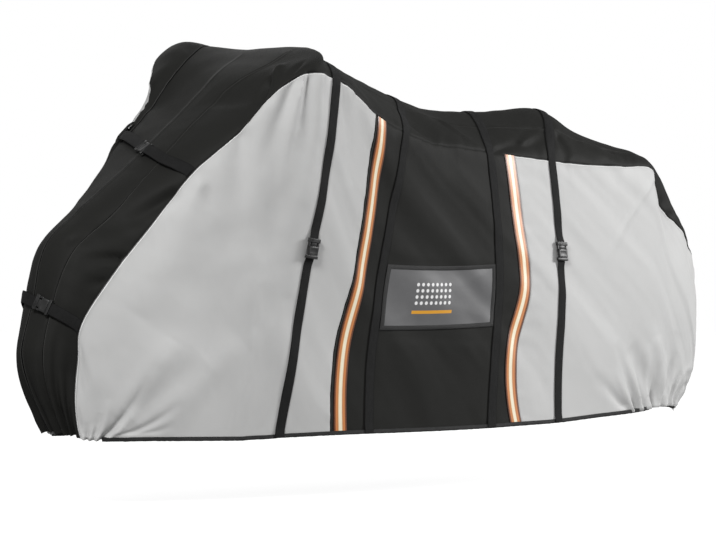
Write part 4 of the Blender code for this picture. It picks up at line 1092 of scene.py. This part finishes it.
def edge_distances(u, w, u_range, w_range):
    """Real distance of every point of a piece from its four edges and its centre line."""
    across = sample(FROM_SPINE, u, w)
    scale = sample(ALONG_SCALE, u, w)
    first, last = (np.abs(across - sample(FROM_SPINE, u, np.full_like(w, edge))) for edge in w_range)
    return {"first": first, "last": last, "front": (u - u_range[0]) * scale, "rear": (u_range[1] - u) * scale,
            "centre": np.abs(across) + ease(*CENTRE_SEAM_END, u)}


def widest(u_range, w_range):
    """The greatest real width of a piece."""
    u = np.linspace(*u_range, 50)[:, None]
    return float(np.abs(np.diff(sample(FROM_SPINE, u, np.array(w_range)))).max())


def cut_size(u, w, tall, long):
    """Width, length and area of the piece as it is cut, measured on the plain drape."""
    plain = sample(SURFACE, u, w)
    cells = np.cross(np.diff(plain, axis=0)[:, :-1], np.diff(plain, axis=1)[:-1])
    area = float(np.linalg.norm(cells, axis=2).sum())
    tall = min(tall, 3 * area / long)    # a piece that widens for a short way only
    return tall, long, min(area, long * tall)


# %% One sheet of cloth
def cut_cloth(name, nodes, finish, u_range, w_range, fine_u, fine_w, ridge_edges):
    """One sheet of cloth. ridge_edges names the sides of the piece that are folded and stitched."""
    u0, u1 = u_range
    w0, w1 = w_range
    tall = widest(u_range, w_range)
    columns = u0 + (u1 - u0) * graded(u1 - u0, STEP, *fine_u)
    u, w = np.meshgrid(columns, w0 + (w1 - w0) * graded(tall, STEP, *fine_w), indexing="ij")
    away = edge_distances(u, w, u_range, w_range)
    height = sample(CLOTH_HEIGHT, u, w)
    nearest = np.full(u.shape, NO_SEAM)
    for edge in ridge_edges:
        height = height + seam_ridge(away[edge])
        nearest = np.minimum(nearest, away[edge])
    beside_long_edge = np.minimum(away["first"], away["last"]) < np.minimum(away["front"], away["rear"])
    along = np.where(beside_long_edge, sample(FROM_NOSE, u, w), sample(FROM_SPINE, u, w))
    metres = (sample(FROM_NOSE, u, np.full_like(w, 0.5 * (w0 + w1))), sample(FROM_SPINE, u, w))
    piece = lay_grid(name, on_drape(u, w, height), CLOTH_SHOWN, metres,
                     (("seam_distance", nearest), ("seam_along", along)))
    piece.data.materials.append(finish)
    tall, flat_length, area = cut_size(u, w, tall, float(np.ptp(metres[0])))
    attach(piece, "root")
    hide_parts(*nodes)
    print(f"{name}: cut {tall:.3f} x {flat_length:.3f} m, {area:.3f} square metres,",
          len(piece.data.polygons), "faces")


# %% The black top: the centre strip and a flank on each side
STRETCHES = ("nose", "crown", "back")      # the solids of the top are divided so
TOP_PIECES = (
    # piece               solids          from      to        stitched edge
    ("top_strip_cloth",   "centre_strip", -W_STRIP, W_STRIP,  "centre"),
    ("flank_cloth_near",  "flank_near",   -W_SEAM,  -W_STRIP, "last"),
    ("flank_cloth_far",   "flank_far",    W_STRIP,  W_SEAM,   "first"),
)
for name, solids, w_from, w_to, stitched in TOP_PIECES:
    cut_cloth(name, [f"{solids}_{part}" for part in STRETCHES], black_cloth,
              (0.0, LENGTH), (w_from, w_to), (False, False), (True, True), (stitched,))

# %% The walls: grey, black, grey on each side
EDGE_FRONT, EDGE_REAR = station("front panel edge"), station("rear panel edge")
WALL_PANELS = (
    # panel            from        to          fine columns    colour   stitched ends
    ("front_panel",    0.0,        EDGE_FRONT, (False, True),  "grey",  ()),
    ("middle_panel",   EDGE_FRONT, EDGE_REAR,  (True, True),   "black", ("front", "rear")),
    ("rear_panel",     EDGE_REAR,  LENGTH,     (True, False),  "grey",  ()),
)
for side, word in ((-1, "near"), (1, "far")):
    edges = (-1.0, -W_SEAM) if side < 0 else (W_SEAM, 1.0)
    seam_side = "last" if side < 0 else "first"
    for panel, start, end, fine_columns, colour, ends in WALL_PANELS:
        finish = grey_cloth if colour == "grey" else black_cloth
        ridges = (seam_side, *ends) if colour == "grey" else ends
        cut_cloth(f"{panel}_cloth_{word}", [f"{panel}_{word}"], finish,
                  (start, end), edges, fine_columns, (True, True), ridges)

# %% [markdown]
# ## Webbing and tape
#
# Webbing is stiffer than the cloth: it follows the billows but not the small creases, so it is laid on the
# broad surface only, half a millimetre off the cloth. Its edges are woven a little thinner than its middle,
# so the cross-section is a flat arch. The two straps over the nose stand clear of the cloth between their
# ends, as a strap does that spans a hollow, and that gives the deep shadow under them.

# %% A band of webbing or tape along a line on the drape
WEBBING = 0.0014          # thickness
TAPE = 0.0010
SEAT = 0.0005             # how far anything laid on the cloth stands off it
ARCH = ((-1.0, -0.35), (-0.9, -0.12), (-0.6, 0.0), (0.0, 0.0), (0.6, 0.0), (0.9, -0.12), (1.0, -0.35))


def lay_band(name, node, finish, u_middle, w_middle, width, lift, thickness):
    """A band whose middle runs through the given places; its width is real at every point."""
    places_across, drop = np.array(ARCH).T
    offsets = places_across * width / 2
    u = u_middle[None, :] + offsets[:, None] / sample(ALONG_SCALE, u_middle, w_middle)[None, :]
    w = np.broadcast_to(w_middle[None, :], u.shape)
    height = sample(BILLOW, u, w) + lift + thickness + drop[:, None] * thickness
    place = on_drape(u, w, height)
    along = lengths_along(place[len(ARCH) // 2])
    share = (offsets / width + 0.5)[:, None]
    uv = (np.broadcast_to(along[None, :], u.shape), np.broadcast_to(share, u.shape))
    piece = lay_grid(name, place, thickness * 0.8, uv)
    piece.data.materials.append(finish)
    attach(piece, "root")
    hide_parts(node)
    print(f"{name}: {along[-1]:.3f} m long")


def even_places(name, w_start, w_end, step):
    """Places across the cover along one rib, a real step apart."""
    w = np.linspace(w_start, w_end, 600)
    run = lengths_along(sample(SURFACE, station(name), w))
    count = max(int(run[-1] / step), 2)
    return np.interp(np.linspace(0, run[-1], count + 1), run, w)


def distance_between(name, w_from, w_to):
    """Real distance along a rib from one place to each of several."""
    w = np.linspace(-1, 1, 2001)
    run = lengths_along(sample(SURFACE, station(name), w))
    return np.interp(w_to, w, run) - np.interp(w_from, w, run)


# %% Buckle places, and where the webbing stops beside them
BUCKLE_WIDTH = 0.033
BUCKLE_THICK = 0.009
SOCKET_LENGTH = 0.026
PRONG_LENGTH = 0.017
BUCKLE_LENGTH = SOCKET_LENGTH + PRONG_LENGTH
WEBBING_STOP = BUCKLE_LENGTH / 2 - 0.004                   # the webbing ends inside the bar
SIDE_BUCKLES = {"first": 0.471, "fourth": 0.350}           # share of the way down the near wall
CROSS_BUCKLES = {"lower": -0.106, "upper": -0.020}         # w


def step_across(name, w_centre, distances):
    """The places across that lie the given real distances from a place on a rib."""
    w = np.linspace(w_centre - 0.2, w_centre + 0.2, 401)
    along = lengths_along(sample(SURFACE, station(name), w))
    return np.interp(along[200] + np.asarray(distances), along, w)


def buckle_w(word):
    return -W_SEAM - (1 - W_SEAM) * SIDE_BUCKLES[word]


print("side buckles at w", [round(buckle_w(word), 3) for word in SIDE_BUCKLES])

# %% The four straps that go over the cover
BINDING = 0.0010          # thickness
BINDING_SEAT = 0.0008     # how far each leaf stands off the cloth
BINDING_HEIGHT = 0.0068
STRAP_STEP = 0.006        # distance between the columns of a strap
CROSS_STRAP_STEP = 0.005


def hem_climb(name, w):
    """A strap's end climbs over the hem binding."""
    from_near = np.abs(distance_between(name, -1.0, w))
    from_far = np.abs(distance_between(name, 1.0, w))
    near_hem = 1 - ease(BINDING_HEIGHT + 0.001, BINDING_HEIGHT + 0.010, np.minimum(from_near, from_far))
    return near_hem * (BINDING_SEAT + BINDING)


def buckle_climb(name, w, w_buckle):
    """Beside a buckle the webbing lifts to pass through its bar."""
    away = np.abs(distance_between(name, w_buckle, w))
    return 0.0030 * (1 - ease(BUCKLE_LENGTH / 2 - 0.002, BUCKLE_LENGTH / 2 + 0.018, away))


def lay_strap(piece_name, node, name, w_start, w_end, w_buckle=None):
    w = even_places(name, w_start, w_end, STRAP_STEP)
    lift = SEAT + hem_climb(name, w)
    if w_buckle is not None:
        lift = lift + buckle_climb(name, w, w_buckle)
    lay_band(piece_name, node, webbing, np.full_like(w, station(name)), w, STRAP_WIDTH,
             lift, WEBBING)


for word in ("first", "second", "third", "fourth"):
    name = f"{word} strap"
    if word not in SIDE_BUCKLES:
        lay_strap(f"{word}_strap_webbing", f"{word}_strap", name, -1.0, 1.0)
        continue
    w_buckle = buckle_w(word)
    below, above = step_across(name, w_buckle, (-WEBBING_STOP, WEBBING_STOP))
    lay_strap(f"{word}_strap_webbing_lower", f"{word}_strap_lower", name, -1.0, below, w_buckle)
    lay_strap(f"{word}_strap_webbing_upper", f"{word}_strap_upper", name, above, 1.0, w_buckle)

# %% The two straps across the nose
CROSS_STRAP_END = 0.01    # sewn down this far inside the seam, in w
BRIDGE = {"lower": 0.0060, "upper": 0.0085}    # how far each strap stands off between its sewn ends


def bridge_lift(word, name, w, w_end):
    """Both ends are sewn flat; between them the strap stands clear."""
    near_gap, far_gap = (np.abs(distance_between(name, end, w)) for end in (-w_end, w_end))
    end_gap = np.minimum(near_gap, far_gap)
    return BRIDGE[word] * ease(0.006, 0.045, end_gap)


for word, w_buckle in CROSS_BUCKLES.items():
    name = f"{word} cross strap"
    w_end = W_SEAM - CROSS_STRAP_END
    below, above = step_across(name, w_buckle, (-WEBBING_STOP, WEBBING_STOP))
    for half, w_from, w_to in (("near", -w_end, below), ("far", above, w_end)):
        w = even_places(name, w_from, w_to, CROSS_STRAP_STEP)
        lift = SEAT + bridge_lift(word, name, w, w_end) + 0.5 * buckle_climb(name, w, w_buckle)
        lay_band(f"{word}_cross_webbing_{half}", f"{word}_cross_strap_{half}", webbing,
                 np.full_like(w, station(name)), w, CROSS_STRAP_WIDTH, lift, WEBBING)

# %% The reflective tape beside the black panels
for place, name, inset in TAPE_LINES:
    for side, word in ((-1, "near"), (1, "far")):
        scale_at_hem = float(sample(ACROSS_SCALE, station(name), side * 0.97))
        edge_w = side * (1 - (BINDING_HEIGHT + 0.0004) / scale_at_hem)
        seam_w = side * (W_SEAM + 0.0012)
        w_from, w_to = (edge_w, seam_w) if side < 0 else (seam_w, edge_w)
        w = even_places(name, w_from, w_to, STRAP_STEP)
        u = station(name) + inset / sample(ALONG_SCALE, station(name), w)
        lay_band(f"{place}_tape_band_{word}", f"{place}_tape_{word}", tape, u, w,
                 TAPE_WIDTH + 2 * TAPE_DARK_EDGE, SEAT, TAPE)

# %% [markdown]
# ## The hem binding
#
# A narrow grosgrain tape is folded round the raw edge of the cloth and stitched through. Its section is a
# hairpin: an outer leaf, a tight turn under the edge and an inner leaf. The section is swept along the hem,
# from the nose to the back, and it swells and dips a little where the thread draws it in.

# %% Sweep the folded section along the hem
LEAF_ROWS = (0.33, 0.66, 1.0)    # each leaf is laid at these shares of its height
TURN_STEPS = 7                   # points round the fold under the edge
BINDING_STEP = 0.0055


def lay_binding(side, word):
    u = np.arange(station("nose"), station("yoke corner"), BINDING_STEP)
    w = np.full_like(u, side * 1.0)
    outer = on_drape(u, w, sample(BILLOW, u, w) + sample(GATHERS, u, w))
    up_w = side * (1 - BINDING_HEIGHT / np.maximum(sample(ACROSS_SCALE, u, side * 0.97), 0.05))
    upper = on_drape(u, up_w, sample(BILLOW, u, up_w) + sample(GATHERS, u, up_w))
    normal = unit(sample(NORMALS, u, w))
    hem_way = unit(np.gradient(outer, axis=0))
    down = outer - upper
    down = unit(down - hem_way * np.sum(down * hem_way, axis=1, keepdims=True))
    half = (CLOTH_SHOWN + 2 * (BINDING_SEAT + BINDING)) / 2
    centre_in = half - BINDING_SEAT - BINDING
    swell = 0.0004 * noise(lengths_along(outer) / 0.006, 0.5, 60 + side)[:, None]
    outer_leaf = [outer - down * BINDING_HEIGHT * share + normal * (half - centre_in + swell)
                  for share in reversed(LEAF_ROWS)]
    fold = [outer + normal * (half * math.cos(angle) - centre_in) + down * (half * math.sin(angle) + swell)
            for angle in np.linspace(0, math.pi, TURN_STEPS)]
    inner_leaf = [outer - down * BINDING_HEIGHT * share - normal * (half + centre_in) for share in LEAF_ROWS]
    place = np.stack(outer_leaf + fold + inner_leaf, axis=1)
    if side < 0:
        place = place[:, ::-1]
    along = np.broadcast_to(lengths_along(outer)[:, None], place.shape[:2])
    across = np.broadcast_to(np.linspace(0, 1, place.shape[1])[None], place.shape[:2])
    piece = lay_grid(f"hem_tape_{word}", place, BINDING * 0.8, (along, across))
    piece.data.materials.append(binding)
    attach(piece, "root")
    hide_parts(f"hem_binding_{word}")
    print(f"hem_tape_{word}: {along.max():.3f} m long")


for side, word in ((-1, "near"), (1, "far")):
    lay_binding(side, word)

# %% [markdown]
# ## The pocket
#
# A window of smoky film lies over the black wall between two straps, with a bound edge all round. The film is
# stiffer than cloth and pillows slightly between its stitched edges. What is printed on the real one is left
# off; a plain field of dots and a rule stand in its place.

# %% Window and bound edge
POCKET_BORDER = 0.010     # width of the bound edge
POCKET_CLOTH = 0.0012     # thickness
FILM = 0.0006
POCKET_EDGE = STRAP_WIDTH / 2 + 0.002     # from a strap's middle to the pocket
POCKET_TILT = -0.035
FILM_TOP, FILM_BOTTOM = 0.459, 0.649      # shares of the way down the wall
FILM_TUCK = (0.002, 0.003)                # the film goes this far under the bound edge, across and down
FILM_GRID = (49, 25)
EDGING_GRID = (61, 31)


def pocket_w(share, u):
    """w of a row of the pocket at u; the rows rise a little towards the third strap."""
    tilt = np.interp(u, (station("second strap"), station("third strap")), (0, POCKET_TILT))
    return -W_SEAM - (1 - W_SEAM) * (share + tilt * 4 * share * (1 - share))


def pocket_grid(edge, top, bottom, columns, rows):
    """Places over the pocket, inside an edge distance from the straps and between two rows."""
    across = np.linspace(0, 1, columns)[:, None]
    down = np.linspace(1, 0, rows)[None, :]
    share = top + (bottom - top) * down
    u_left, u_right = station("second strap"), station("third strap")
    w_guess = pocket_w(share, u_left + (u_right - u_left) * across)
    left = u_left + edge / sample(ALONG_SCALE, u_left, w_guess)
    right = u_right - edge / sample(ALONG_SCALE, u_right, w_guess)
    u = left + (right - left) * across
    return u, pocket_w(share, u)


u, w = pocket_grid(POCKET_EDGE + POCKET_BORDER - FILM_TUCK[0], FILM_TOP - FILM_TUCK[1],
                   FILM_BOTTOM + FILM_TUCK[1], *FILM_GRID)
from_ends, from_rows = (2 * np.minimum(np.linspace(0, 1, count), np.linspace(1, 0, count))
                        for count in FILM_GRID)
edge_share = np.minimum(from_ends[:, None], from_rows[None, :])
pillow = 0.0012 * ease(0, 0.7, edge_share) + 0.0004 * noise(u / 0.03, w / 0.06, 70)
place = on_drape(u, w, sample(BILLOW, u, w) + SEAT + FILM + pillow)
film_size = (lengths_along(place[:, FILM_GRID[1] // 2])[-1], lengths_along(place[FILM_GRID[0] // 2])[-1])
metres = (np.broadcast_to(np.linspace(0, film_size[0], FILM_GRID[0])[:, None], u.shape),
          np.broadcast_to(np.linspace(film_size[1], 0, FILM_GRID[1])[None, :], u.shape))
window = lay_grid("pocket_window", place, FILM, metres)
window.data.materials.append(film)
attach(window, "root")
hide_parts("pocket_film")
print("window of film:", [round(float(size), 3) for size in film_size], "m")

# %% The bound edge: a rounded ring of cloth, swept round the window
# share of the way in from the outer line, and height against the edging's own
EDGING_SECTION = ((0.0, -0.3), (0.12, 0.6), (0.3, 1.0), (0.5, 1.1), (0.7, 1.0), (0.88, 0.6), (1.0, -0.1))
EDGING = 0.0007           # thickness


def ring(grid):
    """The rim of a grid as one closed loop, counter-clockwise seen from outside."""
    return np.concatenate([grid[:-1, 0], grid[-1, :-1], grid[:0:-1, -1], grid[0, :0:-1]])


def closed_band(name, loops, thickness, finish):
    """A band from several closed loops of points, joined side by side."""
    loops = np.stack([np.vstack([loop, loop[:1]]) for loop in loops], axis=1)
    along = np.broadcast_to(lengths_along(loops[:, 0])[:, None], loops.shape[:2])
    across = np.broadcast_to(np.linspace(0, 1, loops.shape[1])[None], loops.shape[:2])
    piece = lay_grid(name, loops, thickness, (along, across))
    piece.data.materials.append(finish)
    weld = piece.modifiers.new("close the ring", "WELD")
    weld.merge_threshold = 0.00002
    apply_modifier(piece, weld)
    return piece


outer_u, outer_w = map(ring, pocket_grid(POCKET_EDGE, POCKET_TOP, POCKET_BOTTOM, *EDGING_GRID))
inner_u, inner_w = map(ring, pocket_grid(POCKET_EDGE + POCKET_BORDER, FILM_TOP, FILM_BOTTOM, *EDGING_GRID))
loops = []
for share, rise in EDGING_SECTION:
    u = outer_u + (inner_u - outer_u) * share
    w = outer_w + (inner_w - outer_w) * share
    loops.append(on_drape(u, w, sample(BILLOW, u, w) + SEAT + POCKET_CLOTH * (0.9 + 0.5 * rise)))
edging = closed_band("pocket_edging", loops, EDGING, binding)
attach(edging, "root")
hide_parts("pocket_border")
print("pocket edging:", len(edging.data.polygons), "faces")

# %% [markdown]
# ## The buckles
#
# A side-release buckle has two mouldings. The socket is a flat box with a bar for the webbing at one end and
# a window in each side. The prong half has a wide slotted bar and two sprung arms, whose tips show in the
# windows. Both are modelled once, lying flat at the origin, by hand operations on a cube. Each copy is then
# turned to its strap and its place is written into its mesh.

# %% Operator helpers
def select_nothing_in(piece):
    bpy.ops.object.select_all(action="DESELECT")
    piece.select_set(True)
    bpy.context.view_layer.objects.active = piece
    bpy.ops.object.mode_set(mode="EDIT")
    bpy.ops.mesh.select_mode(type="FACE")
    bpy.ops.mesh.select_all(action="DESELECT")
    bpy.ops.object.mode_set(mode="OBJECT")


def pick_faces(piece, test):
    """Select the faces whose normal passes a test, and go into edit mode."""
    select_nothing_in(piece)
    for face in piece.data.polygons:
        face.select = bool(test(face.normal))
    bpy.ops.object.mode_set(mode="EDIT")


def deepen(distance):
    """Push the picked faces in or out along Y, with new walls round them."""
    bpy.ops.mesh.extrude_region_move(TRANSFORM_OT_translate={"value": (0, distance, 0)})


def done():
    bpy.ops.object.mode_set(mode="OBJECT")


def block(name, size, place=(0, 0, 0)):
    bpy.ops.object.select_all(action="DESELECT")
    bpy.ops.mesh.primitive_cube_add(size=1, location=place)
    piece = bpy.context.object
    piece.name = name
    piece.scale = size
    bpy.ops.object.transform_apply(location=True, rotation=True, scale=True)
    return piece


def bevel_all(piece, width, segments):
    bevel = piece.modifiers.new("bevel", "BEVEL")
    bevel.width = width
    bevel.segments = segments
    bevel.limit_method = "ANGLE"
    bevel.angle_limit = math.radians(40)
    apply_modifier(piece, bevel)


def join(pieces, name):
    bpy.ops.object.select_all(action="DESELECT")
    for piece in pieces:
        piece.select_set(True)
    bpy.context.view_layer.objects.active = pieces[0]
    bpy.ops.object.join()
    pieces[0].name = name
    pieces[0].data.name = name
    return pieces[0]


print("ready to model the buckles")


# %% The socket: X across the strap, Y along it, Z out of the cloth
def model_socket():
    body = block("socket", (BUCKLE_WIDTH * 0.86, SOCKET_LENGTH * 0.74, BUCKLE_THICK * 0.86),
                 (0, SOCKET_LENGTH * 0.13, 0))
    pick_faces(body, lambda normal: abs(normal.x) > 0.9)
    bpy.ops.mesh.inset(thickness=0.0018, use_individual=True)
    bpy.ops.transform.resize(value=(0.86, 1, 1))
    done()
    pick_faces(body, lambda normal: normal.z > 0.9)
    bpy.ops.mesh.inset(thickness=0.0036)
    bpy.ops.transform.translate(value=(0, 0, 0.0007))
    bpy.ops.mesh.inset(thickness=0.0012)
    bpy.ops.transform.translate(value=(0, 0, -0.0005))
    done()
    pick_faces(body, lambda normal: normal.y > 0.9)
    bpy.ops.mesh.inset(thickness=0.0014)
    deepen(-0.0035)
    done()
    bevel_all(body, 0.0006, 2)
    bar = block("bar", (BUCKLE_WIDTH, SOCKET_LENGTH * 0.24, BUCKLE_THICK * 0.78),
                (0, -SOCKET_LENGTH * 0.38, 0))
    pick_faces(bar, lambda normal: normal.y < -0.9)
    bpy.ops.mesh.inset(thickness=0.0018)
    deepen(0.002)
    done()
    bevel_all(bar, 0.0011, 3)
    ridge = block("ridge", (BUCKLE_WIDTH * 0.72, 0.0014, 0.0014),
                  (0, -SOCKET_LENGTH * 0.20, BUCKLE_THICK * 0.40))
    bevel_all(ridge, 0.0004, 2)
    return join([body, bar, ridge], "socket")


socket = model_socket()
print("socket faces:", len(socket.data.polygons))


# %% The prong half: a slotted bar with ribs, and two arms that reach into the socket
def model_prong():
    frame_bar = block("prong", (BUCKLE_WIDTH * 0.98, PRONG_LENGTH * 0.52, BUCKLE_THICK * 0.80),
                      (0, PRONG_LENGTH * 0.22, 0))
    pick_faces(frame_bar, lambda normal: normal.y > 0.9)
    bpy.ops.mesh.inset(thickness=0.0018)
    deepen(-0.003)
    done()
    bevel_all(frame_bar, 0.0011, 3)
    ribs = []
    for k in range(3):
        rib_bar = block("rib", (BUCKLE_WIDTH * 0.66, 0.0011, 0.0012),
                        (0, PRONG_LENGTH * (0.10 + 0.13 * k), BUCKLE_THICK * 0.41))
        bevel_all(rib_bar, 0.0004, 2)
        ribs.append(rib_bar)
    neck = block("neck", (BUCKLE_WIDTH * 0.50, PRONG_LENGTH * 0.50, BUCKLE_THICK * 0.52),
                 (0, -PRONG_LENGTH * 0.24, 0))
    bevel_all(neck, 0.0008, 2)
    arms = []
    for way in (-1, 1):
        arm = block("arm", (0.0042, PRONG_LENGTH * 0.60, BUCKLE_THICK * 0.50),
                    (way * BUCKLE_WIDTH * 0.37, -PRONG_LENGTH * 0.20, 0))
        pick_faces(arm, lambda normal: normal.y < -0.9)
        bpy.ops.transform.translate(value=(way * 0.0012, 0, 0))
        bpy.ops.mesh.extrude_region_move(TRANSFORM_OT_translate={"value": (-way * 0.001, -0.002, 0)})
        done()
        bevel_all(arm, 0.0007, 2)
        arms.append(arm)
    return join([frame_bar, neck, *ribs, *arms], "prong")


prong = model_prong()
print("prong faces:", len(prong.data.polygons))


# %% Put a copy of each half on every strap that has a buckle
def buckle_place(name, w_centre):
    """Centre and directions of a buckle: along the strap, across it and out of the cloth."""
    u = station(name)
    out = unit(sample(NORMALS, u, w_centre))
    places = step_across(name, w_centre, np.linspace(-0.5, 0.5, 9) * BUCKLE_LENGTH)
    ends = sample(SURFACE, u, places)
    along = unit(ends[-1] - ends[0])
    out = unit(out - along * (out @ along))
    across = np.cross(along, out)
    middle = sample(SURFACE, u, w_centre)
    spread = BUCKLE_WIDTH / 2 / float(sample(ALONG_SCALE, u, w_centre))
    under = sample(SURFACE, u + spread * np.linspace(-1, 1, 9)[:, None], places[None])
    highest = ((under - middle) @ out).max()
    centre = middle + out * (highest + 2 * SEAT + BUCKLE_THICK / 2) - ORIGIN
    return centre, along, across, out


def place_half(model, piece_name, node, centre, axes):
    piece = model.copy()
    piece.data = model.data.copy()
    piece.name = piece_name
    piece.data.name = piece_name
    bpy.context.scene.collection.objects.link(piece)
    across, along, out = (Vector(axis) for axis in axes)
    turn = Matrix((across, along, out)).transposed().to_4x4()
    piece.data.transform(Matrix.Translation(Vector(centre)) @ turn)
    piece.data.materials.append(plastic)
    smooth(piece, 35)
    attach(piece, "root")
    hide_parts(node)


buckles = [(f"{word}_buckle", f"{word} strap", buckle_w(word)) for word in SIDE_BUCKLES]
buckles += [(f"{word}_cross_buckle", f"{word} cross strap", w) for word, w in CROSS_BUCKLES.items()]
for node, name, w_centre in buckles:
    centre, along, across, out = buckle_place(name, w_centre)
    axes = (across, along, out)
    socket_centre = centre - along * PRONG_LENGTH / 2
    prong_centre = centre + along * SOCKET_LENGTH / 2
    place_half(socket, f"{node}_socket_moulding", f"{node}_socket", socket_centre, axes)
    place_half(prong, f"{node}_prong_moulding", f"{node}_prong", prong_centre, axes)
for model in (socket, prong):
    bpy.data.objects.remove(model)
print("buckles placed:", len(buckles))

# %% [markdown]
# ## Floor, light and air
#
# The picture is a catalogue shot: white all round, one soft light from the upper left and plenty of fill. A
# floor or a world bright enough to look white would also light the black cloth from below and wash it out. So
# both are white paper where they are seen, and give off much less light than that. The key light stands well
# to the side, because light that grazes the cloth is what draws its folds.

# %% Floor
FLOOR_Z = -0.850
FLOOR_RADIUS = 14
FLOOR_GREY = 0.25         # what the floor gives back of the light that falls on it
PAPER_GLOW = 0.93         # what is added where the floor is seen
bpy.ops.object.select_all(action="DESELECT")
bpy.ops.mesh.primitive_circle_add(vertices=96, radius=FLOOR_RADIUS, fill_type="NGON",
                                  location=(0, 0, FLOOR_Z))
floor = bpy.context.object
floor.name = "floor"
floor_finish = Nodes("white floor", (FLOOR_GREY, FLOOR_GREY, FLOOR_GREY), 0.9)
lit_paper = floor_finish.add("ShaderNodeEmission")
lit_paper.inputs["Strength"].default_value = PAPER_GLOW
both = floor_finish.add("ShaderNodeAddShader")
floor_finish.link(floor_finish.shader.outputs[0], both.inputs[0])
floor_finish.link(lit_paper.outputs[0], both.inputs[1])
seen = floor_finish.add("ShaderNodeMixShader")
floor_finish.link(floor_finish.add("ShaderNodeLightPath").outputs["Is Camera Ray"], seen.inputs["Fac"])
floor_finish.link(floor_finish.shader.outputs[0], seen.inputs[1])
floor_finish.link(both.outputs[0], seen.inputs[2])
floor_finish.link(seen.outputs[0], floor_finish.tree.nodes["Material Output"].inputs["Surface"])
floor.data.materials.append(floor_finish.material)
floor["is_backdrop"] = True
print("floor at", FLOOR_Z)

# %% World and lights
AMBIENT = 0.30            # light from all round; the paper behind is seen at full white
world = bpy.data.worlds.new("white studio")
bpy.context.scene.world = world
world.use_nodes = True
air, air_links = world.node_tree.nodes, world.node_tree.links
ambient = air["Background"]
ambient.inputs["Color"].default_value = (1, 1, 1, 1)
ambient.inputs["Strength"].default_value = AMBIENT
paper = air.new("ShaderNodeBackground")
paper.inputs["Color"].default_value = (1, 1, 1, 1)
rays = air.new("ShaderNodeLightPath")
choice = air.new("ShaderNodeMixShader")
air_links.new(rays.outputs["Is Camera Ray"], choice.inputs["Fac"])
air_links.new(ambient.outputs[0], choice.inputs[1])
air_links.new(paper.outputs[0], choice.inputs[2])
air_links.new(choice.outputs[0], air["World Output"].inputs["Surface"])
bpy.context.scene.view_settings.view_transform = "Standard"


AIM = (-0.4, 0, -0.3)     # the lights look at the middle of the near side


def soft_light(name, place, size, power):
    data = bpy.data.lights.new(name, "AREA")
    data.shape = "SQUARE"
    data.size = size
    data.energy = power
    light = bpy.data.objects.new(name, data)
    light.location = place
    light.rotation_euler = (Vector(AIM) - Vector(place)).to_track_quat("-Z", "Y").to_euler()
    bpy.context.scene.collection.objects.link(light)


soft_light("key", (-3.6, -2.2, 1.9), size=0.9, power=122)
soft_light("fill", (3.6, -2.3, 1.2), size=1.2, power=170)
soft_light("back", (1.0, 3.5, 2.2), size=2.2, power=14)

# %% [markdown]
# ## Sizes
#
# Cloth stands a little proud of the solids, so the box round everything is measured again, and how far it
# has grown over the box of the solids is printed. Cloth may stand a little proud of the solids, but the
# cover must keep its size.

# %% Measure the finished box and print how far it grew
visual_box = [list(map(float, corner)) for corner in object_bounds()]
grown = [round((visual_box[1][k] - visual_box[0][k]) - (cad_box[1][k] - cad_box[0][k]), 4)
         for k in range(3)]
print("grown along X, Y, Z by", grown, "m")
